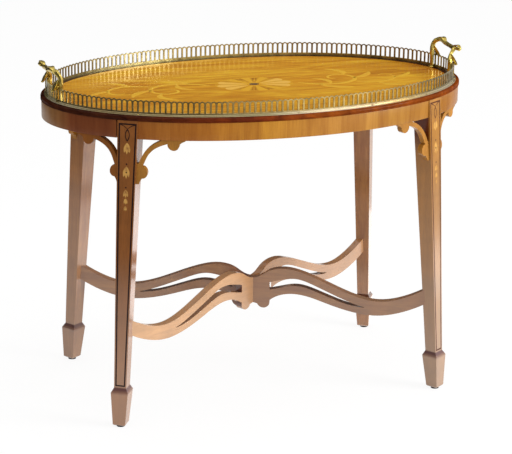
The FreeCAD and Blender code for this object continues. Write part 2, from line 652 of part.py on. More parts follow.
def make_gallery():
    """Pierced brass arcade in a front and a back length, with the pins through its foot."""
    nodes = {}
    pins = []
    stations = half_stations()
    for name, depth in (("gallery_front", -1), ("gallery_back", 1)):
        foot_top = FLOOR + GALLERY_FOOT_THICKNESS
        foot = gallery_strip(stations, depth, -GALLERY_THICKNESS, GALLERY_FOOT_WIDTH, FLOOR, foot_top)
        wall = gallery_strip(stations, depth, -GALLERY_THICKNESS, 0, foot_top, GALLERY_TOP)
        plan = [gallery_point(angle, depth, 0) for angle in stations]
        openings = [arched_opening(start, end) for start, end in zip(plan, plan[1:])]
        length_pins = []
        for i in range(PINS_PER_LENGTH):
            bay = round((i + 0.5) * (len(plan) - 1) / PINS_PER_LENGTH)
            place = gallery_point(stations[bay], depth, GALLERY_FOOT_WIDTH / 2)
            seat = place + UP * foot_top
            shank = Part.makeCylinder(PIN_DIAMETER / 2, GALLERY_FOOT_THICKNESS + PIN_BITE, seat, -UP)
            head = Part.makeCylinder(PIN_HEAD_DIAMETER / 2, PIN_HEAD_HEIGHT, seat)
            length_pins.append(one_solid(shank.fuse(head)))
        nodes[name] = one_solid(wall.cut(openings).fuse(foot).cut(length_pins))
        pins.extend(length_pins)
    nodes["gallery_pins"] = Part.makeCompound(pins)
    return nodes


def handle_feet():
    """Where the right handle's two feet stand: plan point, and the way out through the gallery."""
    feet = []
    for depth in (1, -1):
        angle = math.asin(HANDLE_HALF_SPAN / GALLERY_B)
        inset = GALLERY_THICKNESS + CLEARANCE + HANDLE_FOOT_DIAMETER / 2
        place = gallery_point(angle, depth, -inset)
        out = (gallery_point(angle, depth, OVERRUN) - place).normalize()
        feet.append((place, out))
    return feet


def bow_point(feet, shares):
    lean, across, up = shares
    foot = feet[0][0]
    return V(foot.x + lean * HANDLE_LEAN, across * foot.y, GALLERY_TOP + up * HANDLE_RISE)


def handle_bow(feet):
    """Swelling round bow on two uprights: rings along a smooth path, skinned from each to the next."""
    points = [bow_point(feet, shares) for shares in BOW_SHARES]
    path = Part.BSplineCurve()
    path.interpolate(Points=points, InitialTangent=UP, FinalTangent=-UP)
    places = [path.parameter(point) for point in points]
    rings = [chased_ring(feet[0][0] + UP * FLOOR, UP, HANDLE_RADIUS * BOW_SWELL_SHARES[0])]
    for i in range(BOW_RINGS * (len(points) - 1) + 1):
        before = min(i // BOW_RINGS, len(points) - 2)
        share = i / BOW_RINGS - before
        place = (1 - share) * places[before] + share * places[before + 1]
        swell = (1 - share) * BOW_SWELL_SHARES[before] + share * BOW_SWELL_SHARES[before + 1]
        rings.append(chased_ring(path.value(place), path.tangent(place)[0], HANDLE_RADIUS * swell))
    rings.append(chased_ring(feet[1][0] + UP * FLOOR, -UP, HANDLE_RADIUS * BOW_SWELL_SHARES[-1]))
    return Part.makeLoft(rings, True, True)


def handle_strap(place, out):
    """Strap from a foot's upright over the gallery's crown and down its outer face to its foot."""
    inset = GALLERY_THICKNESS + CLEARANCE + HANDLE_FOOT_DIAMETER / 2
    outside = inset + CLEARANCE
    over = plan_box(place, out, (0, outside + STRAP_THICKNESS), STRAP_WIDTH / 2, GALLERY_TOP + CLEARANCE,
                    GALLERY_TOP + CLEARANCE + STRAP_THICKNESS)
    down = plan_box(place, out, (outside, outside + STRAP_THICKNESS), STRAP_WIDTH / 2,
                    FLOOR + GALLERY_FOOT_THICKNESS, GALLERY_TOP + CLEARANCE + STRAP_THICKNESS)
    return over.fuse(down)


def make_handles():
    """Two alike castings, one turned half round, and the screws up into their feet."""
    feet = handle_feet()
    pieces = []
    screws = []
    for place, out in feet:
        pieces.append(Part.makeCylinder(HANDLE_FOOT_DIAMETER / 2, HANDLE_FOOT_HEIGHT, place + UP * FLOOR))
        pieces.append(handle_strap(place, out))
        screws.append(countersunk_screw(place + UP * STAND_HEIGHT, UP, MOULDING_HEIGHT + HANDLE_SCREW_BITE))
    pieces.append(cast_bud(bow_point(feet, BUD_ROOT_SHARES), BUD_WAY, BUD_LENGTH, BUD_DIAMETER))
    pieces.append(cast_bud(bow_point(feet, CREST_ROOT_SHARES), CREST_WAY, LEAF_LENGTH, LEAF_DIAMETER))
    outside = HANDLE_FOOT_DIAMETER / 2 + GALLERY_THICKNESS + 2 * CLEARANCE
    for place, out in feet:
        root = place + out * outside + UP * (GALLERY_TOP + CLEARANCE)
        aside = V(0, math.copysign(CURL_SPREAD_SHARE, place.y), 0)
        pieces.append(cast_bud(root, out + aside, LEAF_LENGTH, LEAF_DIAMETER))
    right = one_solid(handle_bow(feet).fuse(pieces).cut(screws))
    left = right.copy()
    left.rotate(V(0, 0, 0), UP, 180)
    turned = [screw.copy() for screw in screws]
    for screw in turned:
        screw.rotate(V(0, 0, 0), UP, 180)
    return {"handle_right": right, "handle_left": left, "handle_screws": Part.makeCompound(screws + turned)}


def make_battens():
    """Two cross battens that drop between the legs and just inside the rails, and their screws."""
    leg = Leg(1, 1)
    outer = leg.top.x - LEG_TOP_WIDTH / 2 * (abs(leg.out.x) + abs(leg.out.y)) - BATTEN_CLEARANCE
    half = APRON_INNER_B * math.sqrt(1 - (outer / APRON_INNER_A) ** 2) - BATTEN_CLEARANCE
    bottom = STAND_HEIGHT - BATTEN_THICKNESS
    nodes = {}
    screws = []
    for name, side in (("tray_batten_left", -1), ("tray_batten_right", 1)):
        middle = side * (outer - BATTEN_WIDTH / 2)
        corner = V(middle - BATTEN_WIDTH / 2, -half, bottom)
        block = Part.makeBox(BATTEN_WIDTH, 2 * half, BATTEN_THICKNESS, corner)
        under = [edge for edge in block.Edges if edge.BoundBox.ZMax < STAND_HEIGHT - BATTEN_THICKNESS / 2]
        block = block.makeChamfer(BATTEN_CHAMFER, under)
        own = []
        for i in range(BATTEN_SCREWS):
            along = (2 * i / (BATTEN_SCREWS - 1) - 1) * half * BATTEN_SCREW_SHARE
            seat = V(middle, along, bottom)
            own.append(countersunk_screw(seat, UP, BATTEN_THICKNESS + BATTEN_SCREW_BITE))
        nodes[name] = one_solid(block.cut(own))
        screws.extend(own)
    nodes["batten_screws"] = Part.makeCompound(screws)
    return nodes


def make_moulding(holes):
    """Dark lipping with a rounded nose, drilled for the handles' screws and the gallery's pins."""
    rims = []
    for rise, setback in NOSE_SHARES:
        middle = V(0, 0, STAND_HEIGHT + rise * MOULDING_HEIGHT)
        back = setback * MOULDING_HEIGHT
        rims.append(Part.Wire([Part.Ellipse(middle, MOULDING_A - back, MOULDING_B - back).toShape()]))
    block = Part.makeLoft(rims, True, True)
    return one_solid(block.cut([ellipse_prism(PANEL_A, PANEL_B, STAND_HEIGHT, FLOOR)] + holes))


def make_tray():
    """Panel, lipping, battens, gallery, handles and rosette, by node name."""
    nodes = make_battens()
    nodes.update(make_handles())
    nodes.update(make_gallery())
    nodes.update(make_patera())
    nodes["tray_moulding"] = make_moulding(nodes["gallery_pins"].Solids + nodes["handle_screws"].Solids)
    pocket = ellipse_prism(PATERA_LENGTH / 2, PATERA_WIDTH / 2, FLOOR - INLAY_DEPTH, FLOOR + OVERRUN)
    panel = ellipse_prism(PANEL_A, PANEL_B, STAND_HEIGHT, FLOOR)
    nodes["tray_panel"] = one_solid(panel.cut([pocket] + nodes["batten_screws"].Solids))
    return nodes


def main():
    os.makedirs("parts", exist_ok=True)
    nodes = make_stand()
    nodes.update(make_tray())
    for name, shape in nodes.items():
        shape.exportStep("parts/%s.step" % name)
        print(name, len(shape.Solids), shape.isValid(), round(shape.Volume))


main()
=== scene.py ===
import json
import math

import bmesh
import bpy
import numpy as np
from mathutils import Matrix, Vector

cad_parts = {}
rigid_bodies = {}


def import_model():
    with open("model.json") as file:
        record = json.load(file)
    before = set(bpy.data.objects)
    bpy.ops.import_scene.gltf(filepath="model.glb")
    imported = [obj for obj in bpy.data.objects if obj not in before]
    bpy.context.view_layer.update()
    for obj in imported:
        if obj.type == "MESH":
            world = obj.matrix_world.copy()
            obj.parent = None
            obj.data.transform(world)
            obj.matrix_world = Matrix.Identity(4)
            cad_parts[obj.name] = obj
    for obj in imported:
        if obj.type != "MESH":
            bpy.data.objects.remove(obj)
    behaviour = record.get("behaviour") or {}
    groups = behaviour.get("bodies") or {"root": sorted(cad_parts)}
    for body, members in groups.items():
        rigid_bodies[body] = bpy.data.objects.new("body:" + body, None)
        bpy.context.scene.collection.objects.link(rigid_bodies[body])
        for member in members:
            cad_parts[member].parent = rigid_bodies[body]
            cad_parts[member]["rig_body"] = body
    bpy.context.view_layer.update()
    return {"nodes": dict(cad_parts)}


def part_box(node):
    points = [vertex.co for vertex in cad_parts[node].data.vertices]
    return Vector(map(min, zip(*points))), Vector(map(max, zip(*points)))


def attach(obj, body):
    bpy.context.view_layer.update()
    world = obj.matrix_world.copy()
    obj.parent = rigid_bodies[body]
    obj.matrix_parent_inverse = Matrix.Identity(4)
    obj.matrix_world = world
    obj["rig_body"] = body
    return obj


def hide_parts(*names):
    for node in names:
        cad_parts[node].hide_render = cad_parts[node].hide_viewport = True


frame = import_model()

bl_info = {
    "name": "Tray top tea table",
    "version": (1, 0, 0),
    "blender": (4, 5, 0),
    "location": "View3D > Sidebar > Tea table",
    "description": "Dresses an oval tray top tea table: pierced gallery, cast handles, veneers and inlay",
    "category": "Object",
}

MM = 0.001
WHITE = (1, 1, 1)
CORNERS = ("front_left", "front_right", "back_left", "back_right")
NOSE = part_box("tray_moulding")
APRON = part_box("rail_front")
FLOOR = NOSE[1].z
# A height just over the spade feet, and the heights between which the timber is darker there.
FOOT_TOP = 80 * MM
FOOT_HOLLOW = (64 * MM, 84 * MM)
# The heights between which a painted highlight makes the gallery's foot pale.
HIGHLIGHT_HEIGHTS = (FLOOR + 5 * MM, FLOOR + 3.4 * MM)
# Points of a mesh that are nearer than this are one point.
MERGE = 0.002 * MM


def paint(red, green, blue):
    """A colour given in screen values from 0 to 255, as the linear values that a shader takes."""
    screen = np.array((red, green, blue)) / 255
    linear = np.where(screen <= 0.04045, screen / 12.92, ((screen + 0.055) / 1.055) ** 2.4)
    return tuple(float(value) for value in linear)


def toned(tone, share):
    """A colour, or another row of numbers, times a share."""
    return tuple(share * value for value in tone)


def blend(first, second, share):
    """A colour made of a share of the first and the rest of the second."""
    return tuple(share * a + (1 - share) * b for a, b in zip(first, second))


def size(name, description, default):
    """A length in metres."""
    return bpy.props.FloatProperty(name=name, description=description, default=default, unit="LENGTH",
                                   precision=4)


def share(name, description, default):
    """A share from 0 to 1."""
    return bpy.props.FloatProperty(name=name, description=description, default=default, subtype="FACTOR",
                                   soft_min=0.0, soft_max=1.0)


def colour(name, description, *screen):
    """A colour given in screen values."""
    return bpy.props.FloatVectorProperty(name=name, description=description, default=paint(*screen),
                                         subtype="COLOR", size=3, min=0.0, max=1.0)


def angle(name, description, degrees):
    """An angle given in degrees."""
    return bpy.props.FloatProperty(name=name, description=description, default=math.radians(degrees),
                                   subtype="ANGLE")


def power(name, description, default):
    """The power of a lamp or the brightness of a screen."""
    return bpy.props.FloatProperty(name=name, description=description, default=default, min=0)


class TeaTableSizes(bpy.types.PropertyGroup):
    """Sizes of the dressed pieces, in metres."""

    bays: bpy.props.IntProperty(name="Bays", description="Arched openings round the whole gallery",
                                default=204, min=8)
    gallery_inset: size("Gallery inset", "Gallery face behind the moulding's nose", 12 * MM)
    gallery_height: size("Gallery height", "Tray floor to the top of the hoops", 28 * MM)
    gallery_wall: size("Gallery wall", "Thickness of the pierced strip", 2 * MM)
    gallery_foot: size("Gallery foot", "Width of the flange outside the wall", 5 * MM)
    pillar: size("Pillar", "Metal left between two openings", 3.8 * MM)
    sill: size("Sill", "Solid strip under the openings", 6.2 * MM)
    wall_foot: size("Wall foot", "Tray floor to the lower edge of the pierced strip", 2.4 * MM)
    crown: size("Crown", "Metal over each opening", 2.2 * MM)
    notch: size("Notch", "How far the hoops dip between two arches", 1.9 * MM)
    edge: size("Edge", "Rounding of the pierced edges", 0.4 * MM)
    nose_round: size("Nose rounding", "Upper rounding of the tray's moulding", 3.4 * MM)
    nose_bead: size("Nose bead", "Radius of the bead under the moulding", 1.15 * MM)
    quirk: size("Quirk", "Depth of the groove over the bead", 0.35 * MM)
    moulding_width: size("Moulding width", "Lipping round the veneered floor", 24 * MM)
    apron_inset: size("Apron inset", "Apron face behind the moulding's nose", 1.5 * MM)
    apron_thickness: size("Apron thickness", "Thickness of the curved rails", 20 * MM)
    apron_let_in: size("Apron let in", "How far a rail runs on past a leg's side", 7 * MM)
    apron_edge: size("Apron edge", "Rounding of the rails' edges", 1.0 * MM)
    leg_top: size("Leg top", "Width of a leg where the rails meet it", 39 * MM)
    leaf: size("Veneer leaf", "Width of one leaf of the apron's crossbanding", 27 * MM)
    arris: size("Arris", "Easing of sawn edges", 0.7 * MM)
    bracket_reach: size("Bracket reach", "Length of a bracket along the apron and down the leg", 84 * MM)
    bracket_inner: size("Bracket arch", "Radius under the arch of a bracket", 82.6 * MM)
    bracket_strip: size("Bracket strip", "Width of a bracket's arched strip", 9.7 * MM)
    bracket_bulge: size("Bracket bulge", "How far the arch is sprung towards its corner", 3.6 * MM)
    bracket_slim: size("Bracket slimming", "Width taken off the middle of the arched strip", 1.2 * MM)
    slot_end: size("Slot end", "Middle of a stretcher to the blunt end of its slot", 38.1 * MM)
    slot_middle: size("Slot middle", "Height of a slot's middle at its blunt end", 191.3 * MM)
    slot_run: size("Slot run", "Length over which a slot opens out to its blunt end", 45 * MM)
    slot_flare: size("Slot flare", "How far each edge of a slot moves at its blunt end", 4 * MM)
    dot: size("Dot", "Radius of the dots between the husks", 1.5 * MM)
    veneer_proud: size("Veneer proud", "Height of the inlaid veneers over the floor", 0.06 * MM)
    border: size("Border", "Veneer of the floor that laps the lipping", 2 * MM)


class TeaTableFinish(bpy.types.PropertyGroup):
    """Colours of the timbers, inlays and metals."""

    satinwood: colour("Satinwood", "Solid satinwood of the back legs and one stretcher", 170, 116, 58)
    satinwood_dark: colour("Satinwood shade", "Darker figure in the satinwood", 134, 80, 36)
    # Partly the timber's own tone and partly painted shade: the front left leg and its end bracket face away
    # from the key lamp.
    satinwood_shaded: colour("Deep satinwood", "Darker, redder satinwood of a leg and a bracket", 146, 86, 32)
    satinwood_gold: colour("Golden satinwood", "Yellower satinwood of a leg and most brackets", 178, 121, 48)
    # Partly painted light: this stretcher faces the key lamp.
    satinwood_pale: colour("Pale satinwood", "Lighter satinwood of the other stretcher", 207, 154, 98)
    # Painted light from the pale floor, towards the feet: a paler colour, and a greyer one.
    satinwood_faded: colour("Faded satinwood", "Paler satinwood towards the feet", 204, 168, 142)
    satinwood_floor_greyed: colour("Greyed satinwood", "Duller satinwood towards the feet", 168, 147, 133)
    # Share of its colour that timber keeps in a darker band over the spade foot.
    ankle_band: colour("Grime", "Share of its colour that timber keeps where dirt has lodged", 156, 140, 168)
    # Painted shadow behind the front right leg's bracket, under the apron.
    sheltered: colour("Sheltered", "Share of its colour that timber keeps behind a bracket", 150, 96, 84)
    # Painted shade on the faces inside the stretchers' slots.
    sawn: colour("Sawn", "Share of its colour that timber keeps inside the fretted slots", 150, 124, 138)
    crossband: colour("Crossband", "Lighter leaves of the apron's crossbanding", 208, 144, 66)
    crossband_dark: colour("Crossband shade", "Darker leaves of the apron's crossbanding", 160, 96, 36)
    floor: colour("Floor veneer", "Light figure of the tray's floor", 233, 180, 48)
    floor_dark: colour("Floor veneer shade", "Dark figure of the tray's floor", 198, 130, 26)
    moulding: colour("Moulding", "Reddish dark timber of the tray's edge", 160, 84, 28)
    moulding_dark: colour("Moulding shade", "Darkest grain of the tray's edge", 92, 40, 14)
    line: colour("Line", "Dark inlaid stringing", 44, 22, 22)
    line_faded: colour("Faded line", "Bleached dark lines of one leg and of the tray's edge", 88, 46, 26)
    boxwood: colour("Boxwood", "Light inlay of petals and scrolls", 234, 182, 78)
    husk: colour("Husk", "Toned inlay of the husks on the legs", 200, 150, 70)
    hub: colour("Hub", "Stained centre of the rosette", 116, 92, 66)
    boxwood_burnt: colour("Burnt boxwood", "Sand shaded edges of the light inlay", 140, 86, 34)
    beech: colour("Beech", "Battens and dowels", 206, 168, 122)
    brass: colour("Brass", "Bright faces of the gallery", 216, 190, 122)
    brass_dull: colour("Dull brass", "Tarnish on the gallery", 128, 106, 62)
    # Painted highlight along the gallery's foot.
    brass_highlight: colour("Rubbed brass", "Pale brass along the gallery's polished foot", 240, 230, 190)
    handle: colour("Handle brass", "Bright faces of the handles", 216, 192, 104)
    handle_dull: colour("Dull handle brass", "Tarnish on the handles", 140, 116, 44)
    steel: colour("Steel", "Screws", 150, 148, 144)
    glide: colour("Glide", "Dark metal under the feet", 46, 40, 36)


class TeaTableStage(bpy.types.PropertyGroup):
    """Camera and light."""

    azimuth: angle("Azimuth", "Camera's turn round the table", -19.39)
    elevation: angle("Elevation", "Camera's height over the horizon", 17.32)
    roll: angle("Roll", "Camera's lean", 0.74)
    distance: size("Distance", "Camera to the middle of the table", 3.9554)
    aim: size("Aim", "Height that the camera turns about", 0.3)
    lens: bpy.props.FloatProperty(name="Lens", description="Focal length in millimetres",
                                  default=139.69, min=1)
    shift: bpy.props.FloatVectorProperty(name="Shift", description="Lens shift of the picture",
                                         default=(0.0073, 0.0091), size=2)
    key: power("Key light", "Power of the lamp at the front right", 140)
    fill: power("Fill light", "Power of the lamp at the left", 6)
    top: power("Top lamp", "Power of the soft lamp above", 22)
    flag: power("Flags", "Brightness of the dark screens in reflections", 0.05)
    card: power("Card", "Brightness of the pale card in reflections", 2.2)
    sky: share("Sky", "Even light from all round", 0.7)
    floor_glow: share("Floor glow", "How far the pale floor fades into the backdrop", 0.9)
    floor: colour("Floor", "Pale studio floor", 228, 228, 228)


class Network:
    """A node tree: adds nodes, and links or sets their sockets."""

    def __init__(self, tree):
        self.nodes = tree.nodes
        self.links = tree.links

    def plug(self, socket, value):
        """Links another node's result to a socket, or sets the socket to a constant."""
        if isinstance(value, bpy.types.NodeSocket):
            self.links.new(value, socket)
        else:
            socket.default_value = value

    def set(self, node, sockets):
        """Links or sets a node's sockets by name."""
        for key, value in sockets.items():
            self.plug(node.inputs[key.replace("_", " ")], value)

    def add(self, kind, settings=None, **sockets):
        """A new node with its settings and sockets."""
        node = self.nodes.new(kind)
        for key, value in (settings or {}).items():
            setattr(node, key, value)
        self.set(node, sockets)
        return node

    def join(self, kind, settings, *values):
        """The result of a new node whose sockets take the values in order."""
        node = self.add(kind, settings)
        for socket, value in zip(node.inputs, values):
            self.plug(socket, value)
        return node.outputs[0]

    def calc(self, operation, *values):
        """The result of one step of arithmetic."""
        return self.join("ShaderNodeMath", {"operation": operation}, *values)

    def between(self, value, start, end, low=0.0, high=1.0):
        """A value that runs from start to end, carried to the range from low to high and held inside it."""
        node = self.add("ShaderNodeMapRange", Value=value, From_Min=start, From_Max=end, To_Min=low,
                        To_Max=high)
        return node.outputs[0]

    def seen(self):
        """1 for the camera, in reflections and through glass, and 0 for light."""
        path = self.nodes.new("ShaderNodeLightPath")
        seen = self.calc("MAXIMUM", path.outputs["Is Camera Ray"], path.outputs["Is Glossy Ray"])
        return self.calc("MAXIMUM", seen, path.outputs["Is Transmission Ray"])


class Finish(Network):
    """A node material round one Principled shader."""

    # Where a Mix node has its factor, its two colours and its result.
    FACTOR, COLOURS, RESULT = 0, (6, 7), 2

    def __init__(self, name, **shader):
        self.material = bpy.data.materials.new(name)
        self.material.use_nodes = True
        super().__init__(self.material.node_tree)
        self.shader = self.nodes["Principled BSDF"]
        self.set(self.shader, shader)
        self.coords = self.nodes.new("ShaderNodeTexCoord")

    def axis(self, number, source="Object"):
        """One of a point's coordinates."""
        return self.add("ShaderNodeSeparateXYZ", Vector=self.coords.outputs[source]).outputs[number]

    def noise(self, scale, detail, roughness, distortion=0.0, turn=(0, 0, 0), source="Object",
              shift=(0, 0, 0)):
        """Noise on coordinates that are turned and shifted first, and then drawn out by a scale for each
        axis."""
        way = self.add("ShaderNodeMapping", Vector=self.coords.outputs[source], Rotation=turn, Location=shift)
        drawn = self.add("ShaderNodeMapping", Vector=way.outputs[0], Scale=scale)
        node = self.add("ShaderNodeTexNoise", Vector=drawn.outputs[0], Scale=1.0, Detail=detail,
                        Roughness=roughness, Distortion=distortion)
        return node.outputs["Fac"]

    def ramp(self, value, *stops):
        """Colours along a value, each stop a place and a colour."""
        node = self.add("ShaderNodeValToRGB", Fac=value)
        ends = node.color_ramp.elements
        for element, (place, shade) in zip(ends, (stops[0], stops[-1])):
            element.position = place
            element.color = (*shade, 1)
        for place, shade in stops[1:-1]:
            ends.new(place).color = (*shade, 1)
        return node.outputs["Color"]

    def grey(self, value, low, high):
        """The value from 0 to 1 carried to the range from low to high."""
        return self.between(value, 0.0, 1.0, low, high)

    def mix(self, way, amount, first, second):
        """Two colours mixed in a way that the Mix node names."""
        node = self.add("ShaderNodeMix", {"data_type": "RGBA", "blend_type": way})
        self.plug(node.inputs[self.FACTOR], amount)
        for number, tone in zip(self.COLOURS, (first, second)):
            self.plug(node.inputs[number], tone if isinstance(tone, bpy.types.NodeSocket) else (*tone, 1))
        return node.outputs[self.RESULT]

    def shade(self, tone, value, *stops, amount=1.0):
        """A tone multiplied by a ramp along a value."""
        return self.mix("MULTIPLY", amount, tone, self.ramp(value, *stops))

    def along_table(self, tone, *stops):
        """A tone multiplied by a ramp of painted light and shade that runs along the table from its left end
        to its right.
        """
        return self.shade(tone, self.between(self.axis(0), NOSE[0].x, NOSE[1].x), *stops)

    def bump(self, height, strength, depth):
        """Makes the surface uneven."""
        node = self.add("ShaderNodeBump", Height=height, Strength=strength, Distance=depth)
        self.set(self.shader, {"Normal": node.outputs[0]})

    def surface(self, result):
        """Puts another shader's result on the surface."""
        self.set(self.nodes["Material Output"], {"Surface": result})

    def wear(self, **sockets):
        """The material, with more of its shader's sockets linked or set."""
        self.set(self.shader, sockets)
        return self.material


def timber(name, light, dark, turn=(0, 0, 0), broad=(5, 70, 70), gloss=(0.34, 0.5), coat=0.9,
           coat_roughness=0.16, specular=0.4, faded=None, fade=(0.42, 0.4), aged=None, ankle_band=None, sawn=None,
           shelter=None):
    """Polished timber: noise drawn out along the grain gives the figure, a finer drawn-out noise the
    fibres and pores, and a wide soft noise across the grain the ripple of light that satiny timber shows.
    A paler colour, if given, is painted light from the pale floor: it takes over from the fade's height down
    to the feet as far as the fade's share. Painted light and shade stops shade it along the table, and the
    hollow over the spade foot is darker in a band. Faces marked inside the stretchers' slots keep only a
    share of their colour as painted shade, and so does a painted shadow behind a bracket: it is given by the
    normal of the face in front of it, the two distances along that normal and the two heights between which
    the shade sets in, and that share."""
    finish = Finish(name, Coat_Weight=coat, Coat_Roughness=coat_roughness, Specular_IOR_Level=specular)
    figure = finish.noise(broad, 5.0, 0.6, 0.6, turn)
    threads = finish.noise(toned(broad, 9), 3.0, 0.7, turn=turn)
    wave = finish.noise((26, 7, 7), 2.0, 0.5, 0.4, turn)
    tone = finish.ramp(figure, (0.3, dark), (0.52, blend(light, dark, 0.5)), (0.72, light))
    tone = finish.shade(tone, threads, (0.3, toned(WHITE, 0.8)), (0.65, WHITE))
    tone = finish.mix("OVERLAY", 0.1, tone, finish.ramp(wave, (0.3, toned(WHITE, 0)), (0.7, WHITE)))
    # Painted light from the pale floor: a paler colour towards the feet.
    if faded:
        fall = finish.between(finish.axis(2), fade[0], FOOT_TOP, 0.0, fade[1])
        tone = finish.mix("MIX", fall, tone, faded)
    # Painted light and shade along the table.
    if aged:
        tone = finish.along_table(tone, *aged)
    # A darker band over the spade foot.
    if ankle_band:
        hollow = finish.between(finish.axis(2), *FOOT_HOLLOW)
        tone = finish.shade(tone, hollow, (0.1, WHITE), (0.55, ankle_band), (0.7, ankle_band), (0.85, WHITE))
    # Painted shadow behind a bracket: deep behind the face in front of it and close under the apron.
    if shelter:
        normal, depths, heights, shade = shelter
        reach = finish.add("ShaderNodeVectorMath", {"operation": "DOT_PRODUCT"})
        for socket, value in zip(reach.inputs, (finish.coords.outputs["Object"], normal)):
            finish.plug(socket, value)
        deep = finish.between(reach.outputs["Value"], *depths)
        high = finish.between(finish.axis(2), *heights)
        tone = finish.mix("MULTIPLY", finish.calc("MULTIPLY", deep, high), tone, shade)
    # Painted shade on the faces marked inside the slots.
    if sawn:
        mark = finish.add("ShaderNodeAttribute", {"attribute_name": "sawn"}).outputs["Fac"]
        tone = finish.mix("MULTIPLY", mark, tone, sawn)
    finish.bump(threads, 0.12, 0.4 * MM)
    return finish.wear(Base_Color=tone, Roughness=finish.grey(threads, *gloss))


def own_shade(name, tone, dark=0.7, **looks):
    """Timber whose dark figure is a share of its light one."""
    return timber(name, tone, toned(tone, dark), **looks)


def crossbanding(name, light, dark, leaf, aged):
    """Apron veneer: the grain stands upright, and each leaf along the rail has its own tone and a fine dark
    seam. Painted light and shade run along the table over it."""
    finish = Finish(name, Coat_Weight=0.12, Coat_Roughness=0.16, Specular_IOR_Level=0.12)
    place = finish.calc("DIVIDE", finish.axis(0, "UV"), leaf)
    number = finish.add("ShaderNodeTexWhiteNoise", {"noise_dimensions": "1D"}, W=finish.calc("FLOOR", place))
    upright = finish.noise((46, 5, 1), 5.0, 0.62, 0.3, source="UV")
    streaks = finish.noise((900, 14, 1), 3.0, 0.65, source="UV")
    own = finish.calc("MULTIPLY", number.outputs[0], 0.2)
    drift = finish.calc("ADD", own, finish.calc("MULTIPLY", upright, 0.8))
    tone = finish.ramp(drift, (0.22, dark), (0.82, light))
    tone = finish.shade(tone, streaks, (0.3, (0.78, 0.74, 0.7)), (0.62, WHITE))
    edge = finish.calc("ABSOLUTE", finish.calc("SUBTRACT", finish.calc("FRACT", place), 0.5))
    tone = finish.shade(tone, edge, (0.48, WHITE), (0.5, (0.9, 0.86, 0.82)))
    finish.bump(streaks, 0.1, 0.3 * MM)
    # Painted light and shade along the table.
    return finish.wear(Base_Color=finish.along_table(tone, *aged), Roughness=finish.grey(streaks, 0.3, 0.44))


def floor_veneer(name, light, dark):
    """Highly polished veneer laid along the tray: a wide cloudy figure, long fibres and a thick clear coat,
    with painted shadow making it browner towards the tray's two ends, where the handles stand."""
    finish = Finish(name, Coat_Weight=0.8, Coat_Roughness=0.16, Specular_IOR_Level=0.0)
    cloud = finish.noise((4, 16, 1), 5.0, 0.6, 1.2)
    threads = finish.noise((14, 420, 1), 4.0, 0.7, 0.3)
    flame = finish.noise((6, 64, 1), 3.0, 0.55, 1.6, shift=(0.3, 0.7, 0))
    tone = finish.ramp(cloud, (0.3, dark), (0.5, blend(light, dark, 0.42)), (0.7, light))
    tone = finish.shade(tone, threads, (0.28, (0.74, 0.68, 0.58)), (0.6, WHITE))
    glint = finish.ramp(flame, (0.34, (0.22, 0.2, 0.16)), (0.66, (0.78, 0.78, 0.74)))
    tone = finish.mix("OVERLAY", 0.45, tone, glint)
    # Painted shadow: browner towards the tray's two ends.
    tone = finish.along_table(tone, (0.04, (0.8, 0.7, 0.7)), (0.1, WHITE), (0.45, WHITE),
                              (0.62, (0.98, 0.94, 0.92)), (0.89, (0.98, 0.94, 0.92)),
                              (0.96, (0.7, 0.52, 0.5)))
    finish.bump(threads, 0.02, 0.2 * MM)
    return finish.wear(Base_Color=tone, Roughness=finish.grey(threads, 0.26, 0.4))


def petal_veneer(name, light, across, burnt, petals, ratio):
    """Sand shaded petals: the turn round the rosette, in petals, darkens each petal towards its two edges,
    and petals whose grain lies along the tray are painted lighter than those that lie across it, a painted
    sheen of the grain."""
    finish = Finish(name, Coat_Weight=0.8, Coat_Roughness=0.16, Specular_IOR_Level=0.0)
    turn = finish.calc("ARCTAN2", finish.calc("MULTIPLY", finish.axis(1), ratio), finish.axis(0))
    place = finish.calc("ADD", finish.calc("MULTIPLY", turn, petals / (2 * math.pi)), petals + 0.5)
    off = finish.calc("ABSOLUTE", finish.calc("SUBTRACT", finish.calc("FRACT", place), 0.5))
    grain = finish.noise((30, 260, 1), 4.0, 0.6)
    rough = finish.calc("MULTIPLY", finish.calc("SUBTRACT", grain, 0.5), 0.3)
    ragged = finish.calc("ADD", finish.calc("MULTIPLY", off, 2.0), rough)
    # Painted sheen: petals that lie along the tray are lighter.
    lying = finish.calc("ABSOLUTE", finish.calc("COSINE", turn))
    tone = finish.ramp(lying, (0.7, across), (0.84, light))
    tone = finish.shade(tone, ragged, (0.4, WHITE), (0.9, burnt), amount=finish.grey(lying, 1.0, 0.2))
    return finish.wear(Base_Color=tone, Roughness=finish.grey(grain, 0.26, 0.4))


def husk_inlay(name, light, burnt):
    """Small light inlay, scorched in soft patches as pieces dipped in hot sand are."""
    finish = Finish(name, Coat_Weight=0.35, Coat_Roughness=0.15)
    scorch = finish.noise((160, 160, 110), 3.0, 0.5)
    threads = finish.noise((900, 900, 60), 2.0, 0.6)
    tone = finish.ramp(scorch, (0.3, burnt), (0.55, light), (0.8, toned(light, 1.1)))
    tone = finish.shade(tone, threads, (0.3, (0.82, 0.78, 0.7)), (0.6, WHITE), amount=0.6)
    return finish.wear(Base_Color=tone, Roughness=finish.grey(threads, 0.3, 0.42))


